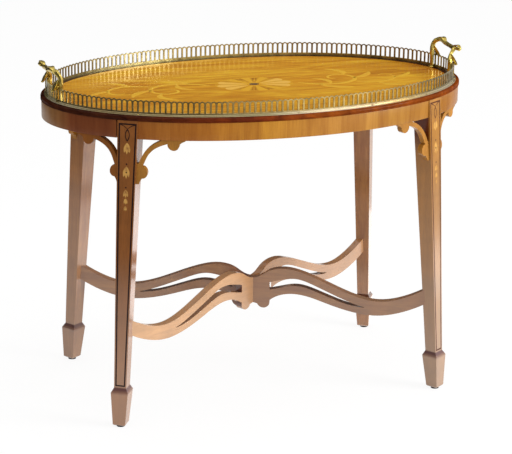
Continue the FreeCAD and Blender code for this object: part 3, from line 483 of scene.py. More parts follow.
def cast_brass(name, bright, dull, tarnish=0.5, metallic=1.0, aged=None, foot_highlight=None, highlight_stops=None):
    """Old brass: cloudy tarnish dulls and roughens the metal, a fine grain breaks up its reflections, and
    where it is not wholly metallic a bloom of old lacquer spreads the light. Painted light and shade stops,
    if given, shade it along the table. A painted highlight colour, if given, shows along the foot, shaded
    along the table by its own stops."""
    finish = Finish(name, Metallic=metallic)
    cloud = finish.noise((55, 55, 55), 5.0, 0.6, 0.5)
    grain = finish.noise((1400, 1400, 1400), 2.0, 0.5)
    tone = finish.ramp(cloud, (tarnish - 0.25, dull), (tarnish + 0.2, bright))
    tone = finish.shade(tone, grain, (0.3, (0.8, 0.78, 0.7)), (0.6, WHITE), amount=0.5)
    # Painted light and shade along the table.
    if aged:
        tone = finish.along_table(tone, *aged)
    # Painted highlight along the foot.
    if foot_highlight:
        near = finish.between(finish.axis(2), *HIGHLIGHT_HEIGHTS)
        tone = finish.mix("MIX", near, tone, finish.along_table(foot_highlight, *highlight_stops))
    finish.bump(grain, 0.15, 0.2 * MM)
    return finish.wear(Base_Color=tone, Roughness=finish.grey(cloud, 0.42, 0.24))


def plain_metal(name, light, roughness):
    """Turned steel and pressed glides: fine turning marks and a little soiling."""
    finish = Finish(name, Metallic=1.0)
    marks = finish.noise((900, 900, 300), 3.0, 0.6)
    tone = finish.ramp(marks, (0.3, toned(light, 0.6)), (0.65, light))
    finish.bump(marks, 0.2, 0.2 * MM)
    return finish.wear(Base_Color=tone, Roughness=finish.grey(marks, roughness - 0.08, roughness + 0.1))


class Oval:
    """An ellipse measured by its own length, so that a shape can be laid along it at an even pace."""

    STEPS = 8192

    def __init__(self, a, b):
        self.a, self.b = a, b
        self.turns = np.linspace(0, 2 * math.pi, self.STEPS + 1)
        steps = np.hypot(a * np.diff(np.cos(self.turns)), b * np.diff(np.sin(self.turns)))
        self.lengths = np.concatenate(([0.0], np.cumsum(steps)))
        self.total = self.lengths[-1]

    def length_at(self, x, y):
        """Length from the right-hand end to the ellipse's point that stands for a plan point."""
        return np.interp(np.arctan2(y / self.b, x / self.a) % (2 * math.pi), self.turns, self.lengths)

    def points(self, along, out, height):
        """Points a length along the ellipse, a distance out along its normal, and a height up."""
        along, out, height = np.broadcast_arrays(along, out, height)
        turn = np.interp(along % self.total, self.lengths, self.turns)
        cos, sin = np.cos(turn), np.sin(turn)
        pace = out / np.hypot(self.b * cos, self.a * sin)
        return np.stack(((self.a + pace * self.b) * cos, (self.b + pace * self.a) * sin, height), -1)


def smooth_path(rows, steps):
    """Catmull-Rom curve through rows of any numbers: a cubic between two rows, whose slope at each row is
    half the step between its neighbours."""
    rows = np.asarray(rows, float)
    ends = np.concatenate(([2 * rows[0] - rows[1]], rows, [2 * rows[-1] - rows[-2]]))
    place = np.linspace(0, len(rows) - 1, steps)
    first = np.minimum(place.astype(int), len(rows) - 2)
    part = (place - first)[:, None]
    a, b, c, d = (ends[first + number] for number in range(4))
    square = 2 * a - 5 * b + 4 * c - d
    cube = 3 * b - a - 3 * c + d
    return 0.5 * (2 * b + (c - a) * part + square * part ** 2 + cube * part ** 3)


def grid_faces(rows, columns, close_rows=False, close_columns=False):
    """Quads of a grid of points numbered row by row, with its last row or column joined to its first if
    closed."""
    row = np.arange(rows if close_rows else rows - 1)[:, None]
    column = np.arange(columns if close_columns else columns - 1)[None, :]
    below, beside = (row + 1) % rows, (column + 1) % columns
    quads = np.stack(np.broadcast_arrays(row * columns + column, row * columns + beside,
                                         below * columns + beside, below * columns + column), -1)
    return quads.reshape(-1, 4)


def along_path(path):
    """The direction of a path at each of its points, of length 1."""
    way = np.gradient(path, axis=0)
    return way / np.linalg.norm(way, axis=1, keepdims=True)


def rod(rows, across, sides, steps, ribs=0, rib_depth=0.0, twist=0.0, cup=0.0):
    """A closed casting round a smooth path. Rows give x, y, z, half width and half thickness in
    millimetres. Each ring is an ellipse of those halves, its radius times 1 + rib_depth * cos(ribs * turn
    + twist * step), and bent by cup times the square of the distance from its middle. Both ends are drawn
    in to a point."""
    table = smooth_path(np.array(rows) * MM, steps)
    path, halves = table[:, :3], np.maximum(table[:, 3:], 0.0)
    halves[[0, -1]] = 0.0
    way = along_path(path)
    side = np.array(across) - (way @ across)[:, None] * way
    side /= np.linalg.norm(side, axis=1, keepdims=True)
    face = np.cross(way, side)
    turn = np.linspace(0, 2 * math.pi, sides, endpoint=False)[None, :]
    step = np.linspace(0, 1, steps)[:, None]
    swell = 1 + rib_depth * np.cos(ribs * turn + twist * step)
    wide = halves[:, :1] * np.cos(turn) * swell
    thick = halves[:, 1:] * np.sin(turn) * swell + cup * wide ** 2
    points = path[:, None] + wide[..., None] * side[:, None] + thick[..., None] * face[:, None]
    return points.reshape(-1, 3), grid_faces(steps, sides, close_columns=True)


def swept(oval, along, profile, closed):
    """A closed profile of distances out and heights, carried along an oval. Open runs get flat ends."""
    profile = np.asarray(profile, float)
    points = oval.points(np.asarray(along)[:, None], profile[None, :, 0], profile[None, :, 1])
    rows, columns = points.shape[:2]
    faces = grid_faces(rows, columns, closed, True).tolist()
    if not closed:
        faces += [list(range(columns)), list(range((rows - 1) * columns, rows * columns))[::-1]]
    return points.reshape(-1, 3), faces


def arc(centre, radius, start, end, steps):
    """Points on a circle from a start angle to an end angle in degrees."""
    turn = np.radians(np.linspace(start, end, steps))
    return [(centre[0] + radius * math.cos(t), centre[1] + radius * math.sin(t)) for t in turn]


def points_of(mesh):
    """A mesh's points as an array."""
    spots = np.empty(3 * len(mesh.vertices), np.float32)
    mesh.vertices.foreach_get("co", spots)
    return spots.reshape(-1, 3).astype(float)


def spots_of(node):
    """A CAD node's points as an array."""
    return points_of(frame["nodes"][node].data)


def main_axes(offsets):
    """The directions in which points spread most to least from the origin, in order."""
    return np.linalg.svd(offsets, full_matrices=False)[2]


def piece(name, shells, material, body, sharp, stands_for=(), uv=None):
    """One object from closed shells of points and faces: doubles merged, faces turned outwards, smooth but
    for sharp edges, riding on a body."""
    points = np.concatenate([np.asarray(shell[0]) for shell in shells])
    starts = np.cumsum([0] + [len(shell[0]) for shell in shells])
    faces = [[int(start + corner) for corner in face]
             for start, shell in zip(starts, shells) for face in shell[1]]
    mesh = bpy.data.meshes.new(name)
    mesh.from_pydata(points.tolist(), [], faces)
    work = bmesh.new()
    work.from_mesh(mesh)
    bmesh.ops.remove_doubles(work, verts=work.verts, dist=MERGE)
    bmesh.ops.recalc_face_normals(work, faces=work.faces)
    work.to_mesh(mesh)
    work.free()
    return finish_piece(name, mesh, material, body, sharp, stands_for, uv)


def finish_piece(name, mesh, material, body, sharp, stands_for, uv=None):
    """Shading, UV map, material and body of a new mesh."""
    mesh.shade_smooth()
    mesh.set_sharp_from_angle(angle=math.radians(sharp))
    mesh.materials.clear()
    mesh.materials.append(material)
    if uv:
        corners = np.empty(len(mesh.loops), np.int32)
        mesh.loops.foreach_get("vertex_index", corners)
        layer = mesh.uv_layers.new(name="veneer")
        layer.data.foreach_set("uv", uv(points_of(mesh))[corners].astype(np.float32).ravel())
    made = bpy.data.objects.new(name, mesh)
    bpy.context.scene.collection.objects.link(made)
    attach(made, body)
    if stands_for:
        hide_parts(*stands_for)
    return made


def eased(node, spots, material, width):
    """A copy of a sawn CAD piece with its points put at new spots, its doubles merged, flat faces joined
    and arrises eased by a Bevel modifier."""
    mesh = frame["nodes"][node].data.copy()
    mesh.vertices.foreach_set("co", spots.astype(np.float32).ravel())
    work = bmesh.new()
    work.from_mesh(mesh)
    bmesh.ops.remove_doubles(work, verts=work.verts, dist=MERGE)
    bmesh.ops.dissolve_limit(work, angle_limit=math.radians(0.4), verts=work.verts, edges=work.edges)
    work.to_mesh(mesh)
    work.free()
    body = frame["nodes"][node]["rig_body"]
    made = finish_piece(node + "_eased", mesh, material, body, sharp=32.0, stands_for=(node,))
    bevel = made.modifiers.new("arris", "BEVEL")
    bevel.width = width
    bevel.segments = 2
    bevel.limit_method = "ANGLE"
    bevel.angle_limit = math.radians(40)
    bevel.harden_normals = False
    return made


def dress(material, *nodes):
    """Gives CAD nodes a finish and leaves their meshes as they are."""
    for name in nodes:
        mesh = frame["nodes"][name].data
        mesh.materials.clear()
        mesh.materials.append(material)


def turned(shell, half_turn):
    """A shell, or the same one given half a turn about the upright axis."""
    points = np.asarray(shell[0])
    return (points * (-1, -1, 1) if half_turn else points), shell[1]


class GalleryOperator(bpy.types.Operator):
    """Pierced brass arcade on a flanged foot, in a front and a back length."""

    bl_idname = "tea_table.gallery"
    bl_label = "Gallery"

    # Painted light and shade along the table, from its left end to its right: the front length's, the painted
    # highlight along its foot, and the back length's.
    FRONT_SHADE = ((0.0, (0.8, 0.95, 1)), (0.06, (0.74, 0.72, 0.76)), (0.2, (0.7, 0.66, 0.64)),
                   (0.45, (0.88, 0.86, 0.86)), (0.6, WHITE), (0.78, (0.96, 0.92, 0.96)),
                   (0.9, (0.54, 0.6, 0.86)))
    FOOT_HIGHLIGHT = ((0.0, (0.8, 0.8, 0.84)), (0.03, (0.6, 0.58, 0.56)), (0.08, (0.42, 0.36, 0.27)),
                 (0.42, (0.39, 0.37, 0.3)), (0.56, (0.9, 0.86, 0.94)), (0.66, (0.66, 0.6, 0.62)),
                 (0.77, (0.55, 0.46, 0.32)), (0.9, (0.52, 0.5, 0.52)))
    BACK_SHADE = ((0.0, (0.75, 0.85, 1)), (0.06, (0.46, 0.52, 0.6)), (0.25, (0.48, 0.54, 0.62)),
                  (0.36, (0.84, 0.96, 1)), (0.5, (0.86, 0.97, 0.98)), (0.75, (0.58, 0.62, 0.64)))
    # The foot's section in millimetres, from the flange's edge, the wall's face and the wall's back.
    FLANGE = ((0, 0), (0, 0.9), (-0.6, 1.5))
    BEAD = ((1.7, 1.6), (1.7, 2.3), (1.2, 3.0), (0.5, 3.3), (0.05, 3.3))
    BACK = ((-0.05, 3.3), (-0.05, 0))
    # Places of a hoop's points between the middles of its two pillars, as shares of half a bay.
    HOOP = (1, 1, 0.72, 0.36, 0, -0.36, -0.72, -1, -1)

    def execute(self, context):
        sizes, tones = context.scene.tea_table_sizes, context.scene.tea_table_finish
        metal = {"bright": tones.brass, "dull": tones.brass_dull}
        # Painted light and shade along each length, and a painted highlight along the front length's foot.
        front = cast_brass("gallery_front_brass", metallic=0.85, aged=self.FRONT_SHADE,
                           foot_highlight=tones.brass_highlight, highlight_stops=self.FOOT_HIGHLIGHT, **metal)
        back = cast_brass("gallery_back_brass", metallic=0.85, aged=self.BACK_SHADE, **metal)
        dress(cast_brass("pin_brass", **metal), "gallery_pins")
        oval = Oval(NOSE[1].x - sizes.gallery_inset, NOSE[1].y - sizes.gallery_inset)
        half = sizes.bays // 2
        for name, first, brass in (("gallery_back", 0, back), ("gallery_front", half, front)):
            shells = [self.arcade(oval, sizes, first, half), self.foot(oval, sizes, first, half)]
            piece(name + "_arcade", shells, brass, "tray", sharp=32.0, stands_for=(name,))
        return {"FINISHED"}

    def arcade(self, oval, sizes, first, count):
        """Each bay is six rings round its arched opening: border, opening eased, opening, and the same at
        the back. A ring runs along the sill and over a half circle; its border runs along the foot, up the
        pillars' middles and over a hoop that is the half circle grown by the crown, dipping no further
        than the notch."""
        pitch = oval.total / sizes.bays
        wide, top = (pitch - sizes.pillar) / 2, FLOOR + sizes.gallery_height
        spring, low, sill = top - sizes.crown - wide, FLOOR + sizes.wall_foot, FLOOR + sizes.sill
        turn = np.linspace(0, math.pi, len(self.HOOP))
        circle = np.stack((np.cos(turn), np.sin(turn)), 1)
        hole = np.concatenate(([(-wide, sill), (wide, sill)], circle * wide + (0, spring)))
        reach = np.array(self.HOOP) * pitch / 2
        hoop = spring + np.sqrt(np.maximum((wide + sizes.crown) ** 2 - reach ** 2, 0))
        hoop = np.maximum(hoop, top - sizes.notch)
        hoop[[0, -1]] = spring
        border = np.concatenate(([(-pitch / 2, low), (pitch / 2, low)], np.stack((reach, hoop), 1)))
        loose = hole + np.concatenate(([(-1, -1), (1, -1)], circle)) * sizes.edge
        rings = np.stack((border, loose, hole, hole, loose, border))
        edge, wall = sizes.edge, sizes.gallery_wall
        depth = np.array((0, 0, -edge, edge - wall, -wall, -wall))
        start = (first + np.arange(count) + 0.5) * pitch
        along = start[:, None, None] + rings[None, ..., 0]
        points = oval.points(along, depth[None, :, None], rings[None, ..., 1])
        # A ring's first two points lie along its foot, and the others go up the right pillar, over the
        # arch and down the left one. Quads join the front and the back under the foot, over the arch and
        # at the two ends.
        ring, bay = len(hole), len(rings) * len(hole)
        over = np.stack((np.arange(3, ring - 2), np.arange(4, ring - 1)), 1)
        rim = self.through(np.concatenate((over, [(0, 1)])), bay - ring)
        quads = np.concatenate((grid_faces(len(rings), ring, close_columns=True), rim))
        faces = (quads[None] + np.arange(count)[:, None, None] * bay).reshape(-1, 4)
        left = np.array(((0, ring - 1), (ring - 1, ring - 2)))
        right = np.array(((1, 2), (2, 3))) + (count - 1) * bay
        ends = self.through(np.concatenate((left, right)), bay - ring)
        return points.reshape(-1, 3), np.concatenate((faces, ends))

    def through(self, edges, back):
        """Quads through the wall, from edges of the front border to the same edges of the back one."""
        return np.concatenate((edges, edges[:, ::-1] + back), 1)

    def foot(self, oval, sizes, first, count):
        """Flange, eased at its edge, with a small bead where it turns up into the wall."""
        pitch = oval.total / sizes.bays
        parts = ((self.FLANGE, sizes.gallery_foot), (self.BEAD, 0), (self.BACK, -sizes.gallery_wall))
        profile = np.concatenate([np.array(rows) * MM + (out, FLOOR) for rows, out in parts])
        along = np.linspace(first * pitch, (first + count) * pitch, count + 1)
        return swept(oval, along, profile, False)


class HandlesOperator(bpy.types.Operator):
    """Cast handles: leafy bows on two uprights, with buds, curled leaves and straps over the gallery."""

    bl_idname = "tea_table.handles"
    bl_label = "Handles"

    # Rows of the right-hand handle's rods: x, y, z, half width and half thickness, in millimetres.
    STEM = ((395.9, 43, 601.0, 5.0, 5.0), (395.9, 43, 601.2, 5.2, 5.2), (395.9, 43, 603.2, 5.2, 5.2),
            (395.9, 43, 605, 3.8, 3.8), (395.9, 43, 615, 3.8, 3.8), (395.9, 43, 626, 4.4, 4.4),
            (396.2, 43.4, 636, 4.8, 4.6), (397, 43.8, 645, 4.3, 4.3), (399.8, 42.6, 652.6, 4.5, 4.4),
            (404.2, 38, 658.2, 4.9, 4.6), (408, 30.5, 660.4, 4.6, 4.4), (409.5, 22, 659.8, 4.7, 4.5),
            (409.5, 12, 657.4, 4.4, 4.3), (409.5, 0, 656.2, 4.1, 4.1), (409.5, -12, 655.4, 4.2, 4.2),
            (409.5, -24, 654.8, 4.4, 4.3), (409.8, -33, 654.9, 4.6, 4.4), (410.8, -40, 655.7, 2.9, 2.9),
            (411.6, -44, 656.4, 2.2, 2.2), (412, -47, 656.7, 1.4, 1.4))
    FRONT = ((395.9, -43, 601.0, 5.0, 5.0), (395.9, -43, 601.2, 5.2, 5.2), (395.9, -43, 603.2, 5.2, 5.2),
             (395.9, -43, 605, 3.8, 3.8), (395.9, -43, 615, 3.7, 3.7), (395.9, -43, 626, 4.2, 4.2),
             (396.6, -41.6, 633.5, 4.6, 4.4), (399, -38, 641, 3.7, 3.7), (402.6, -36, 647.6, 3.5, 3.5),
             (406.6, -35, 652.6, 3.9, 3.9), (409.6, -34.6, 655.4, 2.2, 2.2))
    BUD = ((411.4, -42.6, 656.3, 1.5, 1.5), (411.8, -44.4, 656.6, 4.3, 4.3), (412.2, -47.2, 656.9, 5.1, 5.1),
           (412.6, -50, 657.2, 4.4, 4.4), (413, -52.2, 657.5, 2.6, 2.6), (413.2, -53.2, 657.6, 0.4, 0.4))
    HUMP = ((408.2, 38, 659.2, 0.5, 0.6), (408.6, 34, 662.2, 3.6, 1.5), (409, 27, 664.3, 5.2, 1.7),
            (409.4, 19, 664.2, 5.0, 1.7), (409.5, 12, 661.6, 3.2, 1.4), (409.5, 6, 659.6, 0.8, 0.6))
    CREST = ((409.6, -26, 657.6, 0.6, 0.6), (410.2, -32, 659.6, 3.4, 1.4), (411.4, -39, 661.4, 4.2, 1.4),
             (412.8, -46, 662.2, 3.0, 1.2), (413.8, -51.5, 661, 1.0, 0.7), (414, -53, 660.2, 0.2, 0.2))
    CURL = ((399.0, -39.6, 646.4, 0.8, 1.0), (401.0, -40.4, 640.6, 3.8, 2.2), (403.2, -40.8, 635.2, 5.4, 2.5),
            (405.8, -40.6, 630.2, 6.0, 2.3), (408.4, -40.4, 626.0, 5.4, 2.0), (410.6, -40.0, 623.5, 4.0, 1.9),
            (412.5, -39.9, 623.6, 2.8, 1.7), (413.2, -39.8, 625.6, 0.6, 0.6))
    STRAP = ((396.6, -43, 630.4, 0.8, 0.6), (398.4, -43, 631.6, 3.3, 1.2), (401.4, -43.2, 632, 3.5, 1.2),
             (403.8, -43.4, 630.4, 3.5, 1.1), (404.4, -43.5, 626.5, 3.2, 1.0), (404.4, -43.5, 614, 2.7, 1.0),
             (404.4, -43.5, 607, 3.6, 1.1), (404.5, -43.5, 603.6, 3.6, 1.1), (404.5, -43.5, 602.7, 2.4, 0.8))

    def execute(self, context):
        tones = context.scene.tea_table_finish
        metal = cast_brass("handle_brass", tones.handle, tones.handle_dull, tarnish=0.42)
        for side, half_turn in (("right", False), ("left", True)):
            shells = [turned(shell, half_turn) for shell in self.casting()]
            piece("handle_%s_cast" % side, shells, metal, "tray", sharp=50.0,
                  stands_for=("handle_" + side,))
        dress(plain_metal("handle_screw_steel", tones.steel, 0.34), "handle_screws")
        return {"FINISHED"}

    def casting(self):
        """The shells of the right-hand handle. A leaf is a flat rod cupped along its middle and ribbed at
        its edge."""
        out, across = (1, 0, 0), (0, 1, 0)
        stem = {"sides": 18, "ribs": 6, "rib_depth": 0.09}
        leaf = {"sides": 16, "ribs": 8, "rib_depth": 0.06}
        shells = [rod(self.STEM, out, steps=120, twist=22.0, **stem),
                  rod(self.FRONT, out, steps=80, twist=-16.0, **stem),
                  rod(self.BUD, out, sides=20, steps=28, ribs=5, rib_depth=0.11, twist=1.2),
                  rod(self.HUMP, out, steps=40, cup=60.0, **leaf),
                  rod(self.CREST, out, steps=36, cup=60.0, **leaf)]
        for side in (1, -1):
            flip = (1, side, 1, 1, 1)
            shells.append(rod(np.array(self.CURL) * flip, across, steps=54, cup=70.0, **leaf))
            shells.append(rod(np.array(self.STRAP) * flip, across, sides=14, steps=54))
        return shells


class TrayOperator(bpy.types.Operator):
    """Tray: moulded lipping, polished floor, shaded rosette and scrolled veneers."""

    bl_idname = "tea_table.tray"
    bl_label = "Tray"

    # The rosette's petals, the steps round the rim, and how the floor's inlay is polished.
    PETALS = 12
    RIM_STEPS = 480
    POLISH = {"coat": 0.8, "specular": 0.0}
    # Painted light and shade of the lipping along the table, from its left end to its right.
    SHADE = ((0.0, (0.2, 0.22, 0.7)), (0.12, (0.22, 0.24, 0.7)), (0.25, (0.42, 0.3, 0.56)),
             (0.42, (0.64, 0.4, 0.5)), (0.55, (0.95, 0.86, 0.6)), (0.72, (0.8, 0.7, 0.56)))
    # Rows of the scrolled veneers on the right half: x, y and half width, in millimetres.
    SCROLL = ((86, -8, 1.0), (104, -24, 3.6), (134, -38, 4.6), (172, -38, 5.0), (204, -16, 4.4),
              (208, 16, 3.8), (186, 34, 3.2), (164, 26, 2.8), (160, 8, 2.2), (172, 2, 0.8))
    TAIL = ((196, -26, 1.0), (222, -42, 3.2), (256, -44, 3.8), (286, -24, 3.2), (290, 2, 2.6), (274, 14, 1.8),
            (262, 6, 0.6))
    LEAVES = (((120, -34, 0.8), (136, -56, 7.5), (160, -70, 7.0), (184, -74, 0.8)),
              ((146, -38, 0.8), (150, -14, 6.0), (140, 6, 5.5), (124, 14, 0.6)),
              ((204, -2, 0.8), (228, 6, 7.0), (248, 24, 6.0), (258, 44, 0.6)),
              ((196, 28, 0.8), (206, 52, 6.5), (196, 74, 5.5), (178, 88, 0.6)),
              ((238, -46, 0.8), (252, -68, 6.0), (272, -80, 5.0), (290, -84, 0.6)),
              ((286, -16, 0.8), (308, -10, 5.5), (326, 4, 4.5), (336, 18, 0.6)))

    def execute(self, context):
        sizes, tones = context.scene.tea_table_sizes, context.scene.tea_table_finish
        veneer = floor_veneer("floor_veneer", tones.floor, tones.floor_dark)
        dress(veneer, "tray_panel")
        self.rosette(tones)
        self.rim(sizes, tones, veneer)
        pale = blend(tones.boxwood, tones.floor, 0.22)
        scroll = timber("scroll_veneer", pale, tones.floor, broad=(14, 160, 1), **self.POLISH)
        shells = [turned(shell, half) for half in (False, True) for shell in self.scrolls(sizes.veneer_proud)]
        piece("tray_scrolls", shells, scroll, "tray", sharp=60.0)
        beech = own_shade("batten_beech", tones.beech, turn=(0, 0, math.pi / 2), coat=0.0, gloss=(0.5, 0.65))
        dress(beech, "tray_batten_left", "tray_batten_right")
        dress(plain_metal("batten_screw_steel", tones.steel, 0.36), "batten_screws")
        return {"FINISHED"}

    def rosette(self, tones):
        """Petals on a toned ground, round a stained hub."""
        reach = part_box("patera_petals")[1]
        across = blend(tones.floor_dark, tones.floor, 0.3)
        ground = blend(tones.floor_dark, tones.floor, 0.75)
        petal = petal_veneer("petal_veneer", tones.boxwood, across, tones.boxwood_burnt, self.PETALS,
                             reach.x / reach.y)
        dress(petal, "patera_petals")
        dress(floor_veneer("rosette_ground", tones.floor, ground), "patera_ground")
        dress(own_shade("rosette_hub_wood", tones.hub, dark=0.6, **self.POLISH), "patera_hub")

    def rim(self, sizes, tones, veneer):
        """The moulded lipping, the floor's veneer that laps it and the dark line inside the gallery."""
        dark = {"broad": (30, 30, 60), "specular": 0.0}
        # Painted light and shade along the lipping.
        wood = timber("moulding_wood", tones.moulding, tones.moulding_dark, coat=0.1, coat_roughness=0.1,
                      gloss=(0.3, 0.42), aged=self.SHADE, **dark)
        line = timber("edge_line_wood", tones.line_faded, tones.line, coat=0.4, **dark)
        wall, edge = -sizes.gallery_inset - sizes.gallery_wall, sizes.border - sizes.moulding_width
        lap = self.strip(edge, -sizes.moulding_width - MM, sizes.veneer_proud)
        inner = self.strip(wall, edge, sizes.veneer_proud)
        oval = Oval(NOSE[1].x, NOSE[1].y)
        along = np.linspace(0, oval.total, self.RIM_STEPS, endpoint=False)
        for name, profile, material, slot, stands_for in (
                ("tray_moulding_turned", self.nose(sizes), wood, "dark_moulding", ("tray_moulding",)),
                ("tray_border", lap, veneer, "panel_veneer", ()),
                ("tray_line", inner, line, "dark_line", ())):
            piece(name, [swept(oval, along, profile, True)], material, "tray", sharp=30.0,
                  stands_for=stands_for)

    def nose(self, sizes):
        """Lipping in section: a large quarter round over a quirk and a small bead."""
        low, high, back = NOSE[0].z, NOSE[1].z, -sizes.moulding_width
        top, bead = sizes.nose_round, sizes.nose_bead
        lower = arc((-bead, low + bead), bead, -90, 75, 7)
        upper = arc((-top, high - top), top, 0, 90, 6)
        return [(back, low)] + lower + [(-sizes.quirk, low + 2.5 * bead)] + upper + [(back, high)]

    def strip(self, near, far, proud):
        """A flat strip in section: from near to far behind the nose, let into the tray and as much proud
        of it."""
        low, high = FLOOR - proud, FLOOR + proud
        return [(far, low), (near, low), (near, high), (far, high)]

    def scrolls(self, proud):
        """Thin veneers along smooth paths on the floor, wide in the leaves and narrow in the stems."""
        shells = []
        for rows, steps in ((self.SCROLL, 70), (self.TAIL, 50), *((leaf, 26) for leaf in self.LEAVES)):
            table = smooth_path(np.array(rows) * MM, steps)
            shells.append(self.ribbon(table[:, :2], table[:, 2:], proud))
        return shells

    def ribbon(self, path, wide, proud):
        """A flat closed strip: at each step of the path a low hexagon of its half width, pointed at both
        ends."""
        across = np.array((1, 0.9, -0.9, -1, -0.9, 0.9))
        lift = np.array((0, 1, 1, 0, -1, -1))
        wide[[0, -1]] = 0
        way = along_path(path)
        side = np.stack((-way[:, 1], way[:, 0]), 1)
        plan = path[:, None] + (wide * across)[..., None] * side[:, None]
        height = FLOOR + proud * lift * (wide > 0)
        points = np.concatenate((plan, height[..., None]), -1)
        return points.reshape(-1, 3), grid_faces(len(path), len(across), close_columns=True)


class ApronOperator(bpy.types.Operator):
    """Curved apron rails between the legs, veneered in upright leaves."""

    bl_idname = "tea_table.apron"
    bl_label = "Apron"

    RAILS = (("rail_front", "front_left", "front_right"), ("rail_right", "front_right", "back_right"),
             ("rail_back", "back_right", "back_left"), ("rail_left", "back_left", "front_left"))
    RAIL_STEPS = 120
    # Painted light and shade along the table, from its left end to its right.
    SHADE = ((0.0, (0.54, 0.66, 1)), (0.035, (0.36, 0.24, 0.36)), (0.105, (0.36, 0.24, 0.36)),
             (0.15, (0.6, 0.48, 0.4)), (0.3, (0.78, 0.7, 0.45)), (0.42, (0.91, 0.97, 0.47)),
             (0.58, (0.87, 0.94, 0.84)), (0.76, (0.79, 0.9, 0.74)), (0.9, (0.58, 0.54, 0.34)))

    def execute(self, context):
        sizes, tones = context.scene.tea_table_sizes, context.scene.tea_table_finish
        # Painted light and shade along the apron.
        veneer = crossbanding("apron_crossband", tones.crossband, tones.crossband_dark, sizes.leaf,
                              self.SHADE)
        oval = Oval(NOSE[1].x - sizes.apron_inset, NOSE[1].y - sizes.apron_inset)
        tops = {}
        for corner in CORNERS:
            spots = spots_of("leg_" + corner)
            tops[corner] = oval.length_at(*spots[spots[:, 2] > APRON[1].z - MM].mean(0)[:2])
        clear = sizes.leg_top / 2 - sizes.apron_let_in
        for name, start, end in self.RAILS:
            first, last = tops[start] + clear, tops[end] - clear
            last += oval.total if last < first else 0
            run = swept(oval, np.linspace(first, last, self.RAIL_STEPS), self.section(sizes), False)
            piece(name + "_veneered", [run], veneer, "stand", sharp=40.0, stands_for=(name,),
                  uv=self.unrolled(oval))
        return {"FINISHED"}

    def section(self, sizes):
        """A rail in section: an upright rectangle with its four corners rounded."""
        edge, deep = sizes.apron_edge, sizes.apron_thickness
        low, high = APRON[0].z + edge, APRON[1].z - edge
        corners = ((-edge, low), (-edge, high), (edge - deep, high), (edge - deep, low))
        return [spot for turn, corner in enumerate(corners)
                for spot in arc(corner, edge, 90 * turn - 90, 90 * turn, 4)]

    def unrolled(self, oval):
        """Veneer coordinates: the length along the oval, and the height."""
        def flat(spots):
            return np.stack((oval.length_at(spots[:, 0], spots[:, 1]), spots[:, 2]), 1)
        return flat


